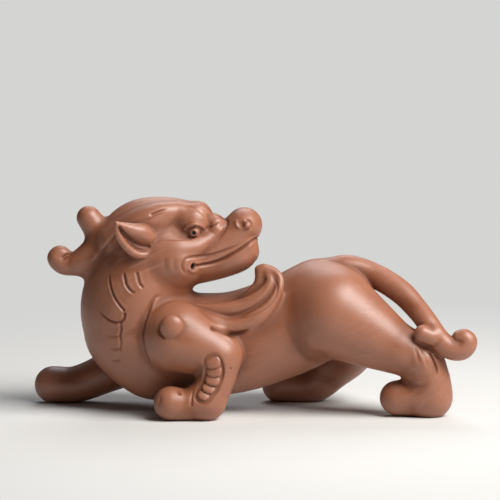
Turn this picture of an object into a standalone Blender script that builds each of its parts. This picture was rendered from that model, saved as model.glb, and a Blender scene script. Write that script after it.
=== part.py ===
"""Tea pet: a crouching mythical beast in unglazed clay, one solid piece.

Sizes are in metres and +Z is up. The figure stands on Z = 0, its chest points along -X, its near
side is -Y, and its head is turned back over that side. The clay is laid on in rolls: each roll is a
row of balls along a smooth path, and neighbouring rolls are blended as wet clay is with a thumb.
"""
import math

import bmesh
import bpy
import numpy as np
from mathutils import Matrix

# Each station below is x, y, z and radius. On paired rolls y is the distance from the middle plane.

# Trunk and neck
CHEST = (-0.0272, 0.0000, 0.0175, 0.0150)
RIBS = (-0.0200, 0.0000, 0.0176, 0.0144)
BELLY = (-0.0060, 0.0000, 0.0184, 0.0139)
LOIN = (0.0080, 0.0000, 0.0230, 0.0138)
RUMP = (0.0175, 0.0000, 0.0278, 0.0136)
NECK_BASE = (-0.0327, 0.0000, 0.0223, 0.0149)
NECK_MIDDLE = (-0.0333, 0.0000, 0.0295, 0.0149)
NECK_TOP = (-0.0310, -0.0010, 0.0410, 0.0125)

# Near hind leg, stretched out behind
NEAR_HIP = (0.0205, -0.0070, 0.0275, 0.0122)
NEAR_THIGH = (0.0300, -0.0095, 0.0221, 0.0092)
NEAR_KNEE = (0.0356, -0.0110, 0.0191, 0.0074)
NEAR_HOCK_TOP = (0.0408, -0.0120, 0.0168, 0.0064)
NEAR_HOCK = (0.0444, -0.0120, 0.0141, 0.0056)
NEAR_SHANK = (0.0464, -0.0120, 0.0095, 0.0056)
NEAR_HEEL = (0.0466, -0.0112, 0.0050, 0.0056)
NEAR_INSTEP = (0.0420, -0.0110, 0.0048, 0.0051)
NEAR_TOES = (0.0377, -0.0110, 0.0047, 0.0047)

# Far hind leg, folded under the belly
FAR_HIP = (0.0200, 0.0080, 0.0258, 0.0120)
FAR_KNEE = (0.0250, 0.0120, 0.0165, 0.0086)
FAR_SHANK = (0.0202, 0.0138, 0.0092, 0.0064)
FAR_HEEL = (0.0150, 0.0140, 0.0048, 0.0055)
FAR_TOES = (0.0060, 0.0140, 0.0042, 0.0047)

# Near foreleg, bent under the shoulder
NEAR_SHOULDER = (-0.0215, -0.0125, 0.0215, 0.0095)
NEAR_UPPER_ARM = (-0.0140, -0.0145, 0.0185, 0.0075)
NEAR_ELBOW = (-0.0107, -0.0155, 0.0168, 0.0062)
NEAR_FOREARM = (-0.0110, -0.0165, 0.0113, 0.0052)
NEAR_WRIST = (-0.0137, -0.0172, 0.0049, 0.0051)
NEAR_PAW = (-0.0190, -0.0178, 0.0040, 0.0043)
NEAR_PAW_TIP = (-0.0232, -0.0180, 0.0043, 0.0046)
SHOULDER_BOSS = (-0.0227, -0.0211, 0.0255, 0.0031)
BOSS_DEPTH_RATIO = 0.6

# Far foreleg, reaching ahead
FAR_SHOULDER = (-0.0240, 0.0105, 0.0210, 0.0095)
FAR_UPPER_ARM = (-0.0330, 0.0120, 0.0130, 0.0070)
FAR_FOREARM = (-0.0420, 0.0120, 0.0082, 0.0056)
FAR_WRIST = (-0.0505, 0.0120, 0.0049, 0.0051)
FAR_PAW_TIP = (-0.0572, 0.0120, 0.0048, 0.0051)

# Head: y is the distance from the head's own middle plane
HEAD_PLANE_Y = -0.0020
SKULL = (-0.0265, 0.0000, 0.0455, 0.0095)
FOREHEAD = (-0.0168, 0.0000, 0.0527, 0.0042)
CROWN = (-0.0250, 0.0000, 0.0533, 0.0051)
MANE_TOP = (-0.0330, 0.0000, 0.0513, 0.0061)
MANE_SIDE_FRONT = (-0.0215, 0.0050, 0.0548, 0.0026)
MANE_SIDE_MIDDLE = (-0.0270, 0.0066, 0.0540, 0.0032)
MANE_SIDE_BACK = (-0.0325, 0.0070, 0.0515, 0.0034)
MANE_SIDE_END = (-0.0390, 0.0048, 0.0475, 0.0030)
MANE_BACK = (-0.0400, 0.0000, 0.0460, 0.0054)
MANE_HOOK_ROOT = (-0.0460, 0.0000, 0.0414, 0.0043)
MANE_HOOK_LOW = (-0.0503, 0.0000, 0.0400, 0.0031)
MANE_HOOK_FRONT = (-0.0530, 0.0000, 0.0402, 0.0029)
MANE_HOOK_RISE = (-0.0547, 0.0000, 0.0417, 0.0026)
MANE_HOOK_TOP = (-0.0537, 0.0000, 0.0429, 0.0023)
MANE_HOOK_END = (-0.0520, 0.0000, 0.0420, 0.0020)
TOP_CURL_ROOT = (-0.0380, 0.0000, 0.0440, 0.0050)
TOP_CURL_NECK = (-0.0425, 0.0000, 0.0480, 0.0038)
TOP_CURL_BALL = (-0.0459, 0.0000, 0.0527, 0.0033)
BROW = (-0.0175, 0.0040, 0.0522, 0.0046)
BROW_BAND_BACK = (-0.0195, 0.0050, 0.0546, 0.0012)
BROW_BAND_TOP = (-0.0160, 0.0046, 0.0556, 0.0014)
BROW_BAND_FRONT = (-0.0140, 0.0040, 0.0541, 0.0014)
BROW_BAND_END = (-0.0132, 0.0036, 0.0525, 0.0011)
BRIDGE = (-0.0117, 0.0000, 0.0521, 0.0019)
BRIDGE_LOBE = (-0.0113, 0.0036, 0.0515, 0.0019)
BRIDGE_LOBE_LOW = (-0.0112, 0.0048, 0.0500, 0.0016)
CHEEK = (-0.0220, 0.0050, 0.0415, 0.0070)
CHEEK_RIDGE_BACK = (-0.0270, 0.0082, 0.0448, 0.0024)
CHEEK_RIDGE = (-0.0223, 0.0086, 0.0450, 0.0026)
CHEEK_RIDGE_EYE = (-0.0180, 0.0078, 0.0450, 0.0025)
CHEEK_RIDGE_RISE = (-0.0147, 0.0063, 0.0465, 0.0022)
CHEEK_RIDGE_FRONT = (-0.0118, 0.0048, 0.0486, 0.0018)
CHEEK_RIDGE_END = (-0.0096, 0.0030, 0.0505, 0.0014)
MUZZLE_BACK = (-0.0200, 0.0000, 0.0430, 0.0062)
MUZZLE = (-0.0115, 0.0000, 0.0453, 0.0054)
SNOUT = (-0.0065, 0.0000, 0.0480, 0.0051)
SNOUT_TIP = (-0.0036, 0.0000, 0.0507, 0.0049)
JAW_BACK = (-0.0200, 0.0000, 0.0395, 0.0055)
JAW = (-0.0115, 0.0000, 0.0400, 0.0042)
JAW_FRONT = (-0.0055, 0.0000, 0.0419, 0.0041)
CHIN = (-0.0029, 0.0000, 0.0434, 0.0034)
JAW_LIP_BACK = (-0.0170, 0.0000, 0.0425, 0.0040)
JAW_LIP = (-0.0090, 0.0000, 0.0442, 0.0036)
JAW_LIP_FRONT = (-0.0034, 0.0000, 0.0462, 0.0031)
THROAT = (-0.0260, 0.0000, 0.0370, 0.0085)
THROAT_FRONT = (-0.0215, 0.0000, 0.0385, 0.0055)
EYEBALL = (-0.0170, 0.0074, 0.0496, 0.0015)
UPPER_LID = (
    (-0.0197, 0.0078, 0.0502, 0.0003),
    (-0.0187, 0.0084, 0.0511, 0.0005),
    (-0.0171, 0.0088, 0.0517, 0.0006),
    (-0.0155, 0.0083, 0.0513, 0.0006),
    (-0.0140, 0.0071, 0.0502, 0.0004),
)
NOSTRIL_BALL = (-0.0028, 0.0061, 0.0512, 0.0011)
EAR_FLAP = (
    (-0.0374, 0.0158, 0.0526, 0.0005),
    (-0.0354, 0.0142, 0.0515, 0.0012),
    (-0.0332, 0.0127, 0.0504, 0.0019),
    (-0.0313, 0.0112, 0.0496, 0.0025),
    (-0.0297, 0.0096, 0.0485, 0.0024),
)
EAR_LEAF = (
    (-0.0374, 0.0158, 0.0524, 0.0006),
    (-0.0373, 0.0148, 0.0502, 0.0008),
    (-0.0362, 0.0138, 0.0477, 0.0010),
    (-0.0343, 0.0127, 0.0453, 0.0011),
    (-0.0321, 0.0117, 0.0438, 0.0011),
    (-0.0299, 0.0107, 0.0438, 0.0010),
    (-0.0284, 0.0096, 0.0455, 0.0009),
)
EAR_DISH = (
    (-0.0364, 0.0138, 0.0503, 0.0009),
    (-0.0345, 0.0116, 0.0485, 0.0018),
    (-0.0320, 0.0094, 0.0468, 0.0026),
    (-0.0296, 0.0080, 0.0462, 0.0030),
)
MUZZLE_WIDTH_RATIO = 1.35
JAW_WIDTH_RATIO = 1.5
JAW_LIP_WIDTH_RATIO = 1.75
BRIDGE_WIDTH_RATIO = 2.2

# Tail, arched over the near hind leg, with a curl at its end and one that rests on the hock
TAIL_START = (0.0165, 0.0000, 0.0355, 0.0046)
TAIL_ROOT = (0.0240, 0.0000, 0.0387, 0.0037)
TAIL_ARCH = (0.0318, -0.0010, 0.0368, 0.0034)
TAIL_UPPER = (0.0387, -0.0050, 0.0329, 0.0033)
TAIL_MIDDLE = (0.0430, -0.0090, 0.0286, 0.0030)
TAIL_LOWER = (0.0458, -0.0132, 0.0251, 0.0029)
TAIL_BEND = (0.0483, -0.0155, 0.0214, 0.0030)
TAIL_TURN = (0.0513, -0.0160, 0.0190, 0.0030)
TAIL_HOOK = (0.0543, -0.0160, 0.0187, 0.0031)
TAIL_HOOK_TOP = (0.0559, -0.0160, 0.0203, 0.0029)
TAIL_HOOK_BACK = (0.0553, -0.0160, 0.0215, 0.0026)
TAIL_END = (0.0541, -0.0160, 0.0216, 0.0022)
SIDE_CURL_ROOT = (0.0475, -0.0162, 0.0226, 0.0024)
SIDE_CURL = (0.0453, -0.0172, 0.0217, 0.0022)
SIDE_CURL_BALL = (0.0431, -0.0174, 0.0224, 0.0023)

# Flame-like wing on each flank, three ribbons that sweep up to one tip
WING_LOWER_RIBBON = (
    (-0.0154, 0.0130, 0.0275, 0.0006),
    (-0.0119, 0.0132, 0.0259, 0.0014),
    (-0.0079, 0.0129, 0.0246, 0.0020),
    (-0.0036, 0.0128, 0.0251, 0.0022),
    (0.0001, 0.0128, 0.0272, 0.0021),
    (0.0028, 0.0124, 0.0296, 0.0017),
    (0.0047, 0.0118, 0.0322, 0.0014),
    (0.0059, 0.0112, 0.0348, 0.0012),
    (0.0059, 0.0102, 0.0372, 0.0011),
    (0.0042, 0.0092, 0.0390, 0.0011),
    (0.0018, 0.0088, 0.0399, 0.0010),
)
WING_MIDDLE_RIBBON = (
    (-0.0163, 0.0112, 0.0294, 0.0006),
    (-0.0122, 0.0118, 0.0285, 0.0016),
    (-0.0079, 0.0118, 0.0287, 0.0020),
    (-0.0036, 0.0114, 0.0297, 0.0021),
    (-0.0001, 0.0110, 0.0316, 0.0020),
    (0.0023, 0.0106, 0.0338, 0.0018),
    (0.0035, 0.0100, 0.0361, 0.0016),
    (0.0028, 0.0092, 0.0379, 0.0014),
    (0.0015, 0.0087, 0.0392, 0.0011),
)
WING_INNER_RIBBON = (
    (-0.0060, 0.0088, 0.0295, 0.0006),
    (-0.0022, 0.0090, 0.0325, 0.0013),
    (0.0003, 0.0090, 0.0353, 0.0015),
    (0.0008, 0.0088, 0.0375, 0.0015),
    (0.0005, 0.0086, 0.0392, 0.0013),
)
WING_BED = ((-0.0030, 0.0078, 0.0288, 0.0014), (0.0014, 0.0079, 0.0327, 0.0015))
FAR_WING_DROP = 0.0026

# Grooves pressed into the near side, as x and z along the line that they follow
MOUTH_LINE = (
    (-0.0172, 0.0404), (-0.0125, 0.0411), (-0.0063, 0.0437), (-0.0022, 0.0463), (-0.0003, 0.0474),
)
NECK_PLATE_FRONT = (
    (-0.0396, 0.0392), (-0.0394, 0.0353), (-0.0374, 0.0308), (-0.0357, 0.0288), (-0.0366, 0.0258),
)
NECK_PLATE_MIDDLE = ((-0.0357, 0.0387), (-0.0353, 0.0355), (-0.0345, 0.0333))
NECK_PLATE_BACK = ((-0.0323, 0.0390), (-0.0320, 0.0363), (-0.0307, 0.0342))
SHOULDER_LINE = (
    (-0.0254, 0.0325), (-0.0278, 0.0312), (-0.0294, 0.0282), (-0.0301, 0.0246), (-0.0301, 0.0207),
)
PAW_CREASE_OUTER = ((-0.0220, 0.0085), (-0.0212, 0.0060), (-0.0204, 0.0050))
PAW_CREASE_INNER = ((-0.0173, 0.0064), (-0.0177, 0.0045), (-0.0178, 0.0024))
NOSTRIL_LINE = ((-0.0056, 0.0527), (-0.0053, 0.0511), (-0.0044, 0.0504))
MOUTH_CORNER_RADIUS = 0.0010
GROOVE_RADIUS = 0.0007
GROOVE_RISE = 0.0002
MOUTH_GROOVE_RADIUS = 0.0009

# Five pads down the outside of the near forearm
PAD_LINE = (
    (-0.0117, 0.0157), (-0.0117, 0.0135), (-0.0120, 0.0112), (-0.0129, 0.0090), (-0.0140, 0.0072),
)
PAD_RADIUS = 0.0013
PAD_RISE = 0.0011
PAD_WIDTH_RATIO = 1.5

# How far neighbouring rolls run into each other
BODY_BLEND = 0.0040
LIMB_BLEND = 0.0030
JOINT_BLEND = 0.0020
FACE_BLEND = 0.0015
SOFT_EDGE_BLEND = 0.0011
EDGE_BLEND = 0.0008
CRISP_BLEND = 0.0004

# Skin of the clay
VOXEL = 0.0005
COARSE_BALL_RADIUS = 0.0030
BALL_SPACING_RATIO = 0.35
STEPS_PER_SPAN = 6
STEEPEST_FLARE = 0.95
SKINNING_PASSES = 2
SETTLE_ROUNDS = 4
SMOOTHING = 0.5
SMOOTH_ROUNDS = 2
TRIANGLES = 12400
SOLE_SNAP = 0.00025
SHORTEST_EDGE = 0.00002

# Colour of fired clay, linear
CLAY_COLOUR = (0.28, 0.125, 0.085, 1.0)
CLAY_ROUGHNESS = 0.5

NAME = "tea_pet"
NEAR = -1.0
FAR = 1.0


class Roll:
    """A row of balls along a path, with a width ratio on each axis."""

    def __init__(self, stations, blend, ratio=(1.0, 1.0, 1.0), cut=False):
        points = np.array(stations, float)
        if len(points) > 1:
            points = smooth_path(points, STEPS_PER_SPAN)
        self.ratio = np.array(ratio)
        self.centres = points[:, :3]
        self.radii = points[:, 3]
        self.blend = blend
        self.cut = cut

    def bounds(self, reach):
        """Corners of the box in which the roll can be felt."""
        extent = self.radii[:, None] * self.ratio + reach
        return (self.centres - extent).min(0), (self.centres + extent).max(0)

    def distance(self, points):
        """Distance of points to the roll, negative inside."""
        squeezed = points / self.ratio
        centres = self.centres / self.ratio
        if len(centres) == 1:
            return (np.linalg.norm(squeezed - centres[0], axis=1) - self.radii[0]) * self.ratio.mean()
        nearest = np.full(len(points), np.inf)
        for start in range(len(centres) - 1):
            growth = self.radii[start + 1] - self.radii[start]
            gap = cone_distance(squeezed, centres[start], centres[start + 1], self.radii[start], growth)
            np.minimum(nearest, gap, out=nearest)
        return nearest * self.ratio.mean()


def cone_distance(points, start, stop, radius, growth):
    """Distance to two balls and the cone that touches both, the second ball larger by growth."""
    along = stop - start
    length = np.linalg.norm(along)
    offset = points - start
    axial = offset @ along / length
    across = np.sqrt(np.maximum((offset ** 2).sum(1) - axial ** 2, 0.0))
    flare = min(max(growth / length, -STEEPEST_FLARE), STEEPEST_FLARE)
    share = np.clip((axial + across * flare / math.sqrt(1.0 - flare ** 2)) / length, 0.0, 1.0)
    return np.linalg.norm(offset - share[:, None] * along, axis=1) - (radius + growth * share)


def smooth_path(points, steps):
    """Catmull-Rom curve through the points."""
    ends = np.vstack([2 * points[0] - points[1], points, 2 * points[-1] - points[-2]])
    path = []
    for i in range(1, len(ends) - 2):
        before, start, stop, after = ends[i - 1:i + 3]
        for step in range(steps):
            t = step / steps
            linear = (stop - before) * t
            square = (2 * before - 5 * start + 4 * stop - after) * t ** 2
            cube = (3 * start - before - 3 * stop + after) * t ** 3
            path.append(0.5 * (2 * start + linear + square + cube))
    path.append(points[-1])
    return np.array(path)


def clay_field(rolls, points):
    """Signed distance to the blended clay, which cuts are pressed into."""
    outside = 1.0
    field = np.full(len(points), outside)
    for roll in rolls:
        low, high = roll.bounds(2 * roll.blend + VOXEL)
        inside_box = np.nonzero(np.all((points > low) & (points < high), axis=1))[0]
        if len(inside_box) == 0:
            continue
        new = roll.distance(points[inside_box])
        old = field[inside_box]
        if roll.cut:
            overlap = np.maximum(roll.blend - np.abs(old + new), 0.0) / roll.blend
            field[inside_box] = np.maximum(old, -new) + overlap ** 2 * roll.blend / 4
        else:
            overlap = np.maximum(roll.blend - np.abs(old - new), 0.0) / roll.blend
            field[inside_box] = np.minimum(old, new) - overlap ** 2 * roll.blend / 4
    return field


def settle(figure, rolls, rounds):
    """Moves the skin along its normals onto the clay's surface."""
    longest_move = 2 * VOXEL
    mesh = figure.data
    for _ in range(rounds):
        points = get_points(mesh)
        normals = np.empty(len(points) * 3, np.float32)
        mesh.vertex_normals.foreach_get("vector", normals)
        move = np.clip(clay_field(rolls, points), -longest_move, longest_move)
        set_points(mesh, points - move[:, None] * normals.reshape(-1, 3))


def paired(stations, side, plane_y=0.0):
    """Stations of one side's roll, whose y is the distance from a middle plane."""
    return [(x, plane_y + side * y, z, radius) for x, y, z, radius in stations]


def on_head(*stations):
    """Stations in the head's middle plane."""
    return paired(stations, FAR, HEAD_PLANE_Y)


def mirrored(stations, plane_y):
    """The same stations on the other side of a plane across Y."""
    return [(x, 2 * plane_y - y, z, radius) for x, y, z, radius in stations]


def body_rolls():
    """Trunk, neck and legs."""
    return [
        Roll([CHEST, RIBS, BELLY, LOIN, RUMP], BODY_BLEND),
        Roll([NECK_BASE, NECK_MIDDLE, NECK_TOP], LIMB_BLEND),
        Roll([NEAR_HIP, NEAR_THIGH, NEAR_KNEE, NEAR_HOCK_TOP, NEAR_HOCK], LIMB_BLEND),
        Roll([NEAR_HOCK, NEAR_SHANK, NEAR_HEEL], JOINT_BLEND),
        Roll([NEAR_HEEL, NEAR_INSTEP, NEAR_TOES], JOINT_BLEND),
        Roll([FAR_HIP, FAR_KNEE, FAR_SHANK, FAR_HEEL, FAR_TOES], LIMB_BLEND),
        Roll([NEAR_SHOULDER, NEAR_UPPER_ARM, NEAR_ELBOW], JOINT_BLEND),
        Roll([NEAR_ELBOW, NEAR_FOREARM, NEAR_WRIST], FACE_BLEND),
        Roll([NEAR_WRIST, NEAR_PAW, NEAR_PAW_TIP], FACE_BLEND),
        Roll([FAR_SHOULDER, FAR_UPPER_ARM, FAR_FOREARM, FAR_WRIST, FAR_PAW_TIP], LIMB_BLEND),
        Roll([SHOULDER_BOSS], CRISP_BLEND, ratio=(1.0, BOSS_DEPTH_RATIO, 1.0)),
        Roll(mirrored([SHOULDER_BOSS], 0.0), CRISP_BLEND, ratio=(1.0, BOSS_DEPTH_RATIO, 1.0)),
    ]


def head_rolls():
    """Skull, swept-back mane with its two curls, muzzle, jaw and brows."""
    mane = on_head(
        FOREHEAD, CROWN, MANE_TOP, MANE_BACK, MANE_HOOK_ROOT, MANE_HOOK_LOW,
        MANE_HOOK_FRONT, MANE_HOOK_RISE, MANE_HOOK_TOP, MANE_HOOK_END,
    )
    rolls = [
        Roll(on_head(SKULL), BODY_BLEND),
        Roll(mane, LIMB_BLEND),
        Roll(on_head(TOP_CURL_ROOT, TOP_CURL_NECK, TOP_CURL_BALL), JOINT_BLEND),
    ]
    mane_side = [MANE_SIDE_FRONT, MANE_SIDE_MIDDLE, MANE_SIDE_BACK, MANE_SIDE_END]
    cheek_ridge = [
        CHEEK_RIDGE_BACK, CHEEK_RIDGE, CHEEK_RIDGE_EYE,
        CHEEK_RIDGE_RISE, CHEEK_RIDGE_FRONT, CHEEK_RIDGE_END,
    ]
    brow_band = [BROW_BAND_BACK, BROW_BAND_TOP, BROW_BAND_FRONT, BROW_BAND_END]
    for side in (NEAR, FAR):
        rolls.append(Roll(paired(mane_side, side, HEAD_PLANE_Y), LIMB_BLEND))
        rolls.append(Roll(paired([BROW], side, HEAD_PLANE_Y), JOINT_BLEND))
        rolls.append(Roll(paired([CHEEK], side, HEAD_PLANE_Y), LIMB_BLEND))
    muzzle = on_head(MUZZLE_BACK, MUZZLE, SNOUT, SNOUT_TIP)
    jaw = on_head(JAW_BACK, JAW, JAW_FRONT, CHIN)
    jaw_lip = on_head(JAW_LIP_BACK, JAW_LIP, JAW_LIP_FRONT)
    rolls.append(Roll(muzzle, JOINT_BLEND, ratio=(1.0, MUZZLE_WIDTH_RATIO, 1.0)))
    rolls.append(Roll(jaw_lip, FACE_BLEND, ratio=(1.0, JAW_LIP_WIDTH_RATIO, 1.0)))
    rolls.append(Roll(jaw, JOINT_BLEND, ratio=(1.0, JAW_WIDTH_RATIO, 1.0)))
    rolls.append(Roll(on_head(THROAT, THROAT_FRONT), FACE_BLEND))
    for side in (NEAR, FAR):
        rolls.append(Roll(paired(cheek_ridge, side, HEAD_PLANE_Y), EDGE_BLEND))
        rolls.append(Roll(paired(brow_band, side, HEAD_PLANE_Y), EDGE_BLEND))
    rolls.append(Roll(on_head(BRIDGE), FACE_BLEND, ratio=(1.0, BRIDGE_WIDTH_RATIO, 1.0)))
    for side in (NEAR, FAR):
        rolls.append(Roll(paired([BRIDGE_LOBE, BRIDGE_LOBE_LOW], side, HEAD_PLANE_Y), EDGE_BLEND))
        for row in (EAR_DISH, EAR_LEAF, EAR_FLAP, [EYEBALL], UPPER_LID, [NOSTRIL_BALL]):
            rolls.append(Roll(paired(row, side, HEAD_PLANE_Y), CRISP_BLEND))
    return rolls


def tail_rolls():
    """The arched tail, its end curl, and the side curl that rests on the hock."""
    tail = [
        TAIL_START, TAIL_ROOT, TAIL_ARCH, TAIL_UPPER, TAIL_MIDDLE, TAIL_LOWER, TAIL_BEND,
        TAIL_TURN, TAIL_HOOK, TAIL_HOOK_TOP, TAIL_HOOK_BACK, TAIL_END,
    ]
    return [
        Roll(tail, SOFT_EDGE_BLEND),
        Roll([SIDE_CURL_ROOT, SIDE_CURL, SIDE_CURL_BALL], SOFT_EDGE_BLEND),
    ]


def wing_rolls():
    """Three ribbons on each flank; the far wing lies lower."""
    rolls = []
    for side, drop in ((NEAR, 0.0), (FAR, FAR_WING_DROP)):
        for ribbon, blend in (
            (WING_LOWER_RIBBON, SOFT_EDGE_BLEND),
            (WING_MIDDLE_RIBBON, EDGE_BLEND),
            (WING_INNER_RIBBON, EDGE_BLEND),
            (WING_BED, EDGE_BLEND),
        ):
            lowered = [(x, y, z - drop, radius) for x, y, z, radius in ribbon]
            rolls.append(Roll(paired(lowered, side), blend))
    return rolls


def skin_y(rolls, x, z):
    """Where a line across the figure at x and z first meets the clay, coming from the near side."""
    half_width = max(abs(roll.centres[:, 1]).max() + roll.radii.max() for roll in rolls)
    across = NEAR * np.arange(half_width, 0.0, -VOXEL / 8)
    line = np.column_stack([np.full(len(across), x), across, np.full(len(across), z)])
    inside = np.nonzero(clay_field(rolls, line) < 0.0)[0]
    return across[inside[0]] if len(inside) else 0.0


def stations_on_skin(rolls, line, radius, rise):
    """Stations of pads or of a groove along a line on the near side, their middles raised by rise."""
    return [(x, skin_y(rolls, x, z) + NEAR * rise, z, radius) for x, z in line]


def forearm_pads(rolls):
    """Row of round pads down the outside of the near forearm."""
    pads = []
    for place in PAD_LINE:
        stations = stations_on_skin(rolls, [place], PAD_RADIUS, PAD_RISE - PAD_RADIUS)
        pads.append(Roll(stations, CRISP_BLEND, ratio=(PAD_WIDTH_RATIO, 1.0, 1.0)))
    return pads


def grooves(rolls):
    """Lines pressed into the clay: mouth, nostrils, neck plates, shoulder edge and paws."""
    cuts = []
    for line, radius in (
        (MOUTH_LINE, MOUTH_GROOVE_RADIUS),
        (MOUTH_LINE[:1], MOUTH_CORNER_RADIUS),
        (NOSTRIL_LINE, GROOVE_RADIUS),
    ):
        stations = stations_on_skin(rolls, line, radius, GROOVE_RISE)
        cuts.append(Roll(stations, GROOVE_RADIUS, cut=True))
        cuts.append(Roll(mirrored(stations, HEAD_PLANE_Y), GROOVE_RADIUS, cut=True))
    for line in (NECK_PLATE_FRONT, NECK_PLATE_MIDDLE, NECK_PLATE_BACK, SHOULDER_LINE):
        stations = stations_on_skin(rolls, line, GROOVE_RADIUS, GROOVE_RISE)
        cuts.append(Roll(stations, GROOVE_RADIUS, cut=True))
        cuts.append(Roll(mirrored(stations, 0.0), GROOVE_RADIUS, cut=True))
    for line in (PAW_CREASE_OUTER, PAW_CREASE_INNER):
        stations = stations_on_skin(rolls, line, GROOVE_RADIUS, GROOVE_RISE)
        cuts.append(Roll(stations, GROOVE_RADIUS, cut=True))
    return cuts


def laid_on_balls(rolls):
    """Mesh of all the balls, still overlapping."""
    figure = bmesh.new()
    for roll in rolls:
        if roll.cut:
            continue
        row = bmesh.new()
        for centre, radius in balls_along(roll):
            scale = Matrix.Diagonal((*roll.ratio, 1.0))
            fineness = 3 if radius > COARSE_BALL_RADIUS else 2
            bmesh.ops.create_icosphere(
                row, subdivisions=fineness, radius=radius, matrix=Matrix.Translation(centre) @ scale)
        row_mesh = bpy.data.meshes.new("row")
        row.to_mesh(row_mesh)
        row.free()
        figure.from_mesh(row_mesh)
        bpy.data.meshes.remove(row_mesh)
    mesh = bpy.data.meshes.new(NAME)
    figure.to_mesh(mesh)
    figure.free()
    return mesh


def balls_along(roll):
    """Centres and radii close enough together for a closed row."""
    balls = [(roll.centres[0], roll.radii[0])]
    for i in range(len(roll.centres) - 1):
        gap = np.linalg.norm(roll.centres[i + 1] - roll.centres[i])
        closest = BALL_SPACING_RATIO * min(roll.radii[i], roll.radii[i + 1])
        count = max(1, math.ceil(gap / closest))
        for step in range(1, count + 1):
            t = step / count
            centre = roll.centres[i] * (1 - t) + roll.centres[i + 1] * t
            balls.append((centre, roll.radii[i] * (1 - t) + roll.radii[i + 1] * t))
    return balls


def bake(figure, settings, kind):
    """Adds one modifier, keeps its result as the mesh and takes the modifier off."""
    modifier = figure.modifiers.new(kind.title(), kind)
    for key, value in settings.items():
        setattr(modifier, key, value)
    bpy.context.view_layer.update()
    graph = bpy.context.evaluated_depsgraph_get()
    baked = bpy.data.meshes.new_from_object(figure.evaluated_get(graph))
    figure.modifiers.clear()
    old = figure.data
    figure.data = baked
    bpy.data.meshes.remove(old)


def get_points(mesh):
    """Vertex places as an array."""
    flat = np.empty(len(mesh.vertices) * 3, np.float32)
    mesh.vertices.foreach_get("co", flat)
    return flat.reshape(-1, 3).astype(float)


def set_points(mesh, points):
    """Writes vertex places back."""
    mesh.vertices.foreach_set("co", points.astype(np.float32).ravel())
    mesh.update()


def stand_on_flat_soles(mesh):
    """Cuts the feet flat at Z = 0 and centres the figure over the origin."""
    points = get_points(mesh)
    close = np.abs(points[:, 2]) < SOLE_SNAP
    points[close, 2] = 0.0
    set_points(mesh, points)
    model = bmesh.new()
    model.from_mesh(mesh)
    everything = model.verts[:] + model.edges[:] + model.faces[:]
    ground, up = (0, 0, 0), (0, 0, 1)
    cut = bmesh.ops.bisect_plane(
        model, geom=everything, dist=SHORTEST_EDGE, plane_co=ground, plane_no=up, clear_inner=True)
    rims = [item for item in cut["geom_cut"] if isinstance(item, bmesh.types.BMEdge)]
    bmesh.ops.holes_fill(model, edges=rims, sides=0)
    bmesh.ops.dissolve_degenerate(model, dist=SHORTEST_EDGE, edges=model.edges[:])
    bmesh.ops.triangulate(model, faces=model.faces[:])
    bmesh.ops.recalc_face_normals(model, faces=model.faces[:])
    lows = np.array([vertex.co for vertex in model.verts]).min(0)
    highs = np.array([vertex.co for vertex in model.verts]).max(0)
    middle = (lows + highs) / 2
    bmesh.ops.translate(model, verts=model.verts[:], vec=(-middle[0], -middle[1], 0.0))
    model.to_mesh(mesh)
    model.free()


def clay_material():
    """Fired clay, brown and half matt."""
    material = bpy.data.materials.new("fired_clay")
    material.use_nodes = True
    shader = material.node_tree.nodes["Principled BSDF"]
    shader.inputs["Base Color"].default_value = CLAY_COLOUR
    shader.inputs["Roughness"].default_value = CLAY_ROUGHNESS
    shader.inputs["Metallic"].default_value = 0.0
    return material


def clear_scene():
    """Starts from an empty scene."""
    for item in list(bpy.data.objects):
        bpy.data.objects.remove(item, do_unlink=True)


def model_figure():
    """Lays on the clay, skins it, settles it, presses the lines in and cuts the soles flat."""
    rolls = body_rolls() + head_rolls() + tail_rolls() + wing_rolls()
    rolls += forearm_pads(rolls)
    figure = bpy.data.objects.new(NAME, laid_on_balls(rolls))
    collection = bpy.data.collections.new("Tea pet")
    bpy.context.scene.collection.children.link(collection)
    collection.objects.link(figure)
    rolls += grooves(rolls)
    for _ in range(SKINNING_PASSES):
        bake(figure, {"mode": "VOXEL", "voxel_size": VOXEL, "adaptivity": 0.0}, "REMESH")
        settle(figure, rolls, SETTLE_ROUNDS)
    bake(figure, {"factor": SMOOTHING, "iterations": SMOOTH_ROUNDS}, "SMOOTH")
    settle(figure, rolls, SETTLE_ROUNDS // 2)
    bake(figure, {"factor": SMOOTHING, "iterations": 1}, "SMOOTH")
    faces = 2 * len(figure.data.polygons)
    bake(figure, {"ratio": TRIANGLES / faces, "use_collapse_triangulate": True}, "DECIMATE")
    stand_on_flat_soles(figure.data)
    figure.data.materials.append(clay_material())
    figure.data.shade_smooth()
    return figure


clear_scene()
model_figure()
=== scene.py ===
"""Looks of the clay tea pet: the crouching beast as one fine clay surface, in a plain studio.

The figure is modelled as its solid is, from rolls of clay that run into each other, at a finer
grain. Lines, rims and pits are then pressed into that surface. Each of them is traced in the
photograph, and thrown from the camera on to the clay, where it follows the surface.
"""
import math

import bmesh
import bpy
import numpy as np
from mathutils import Euler, Matrix, Vector


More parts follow.
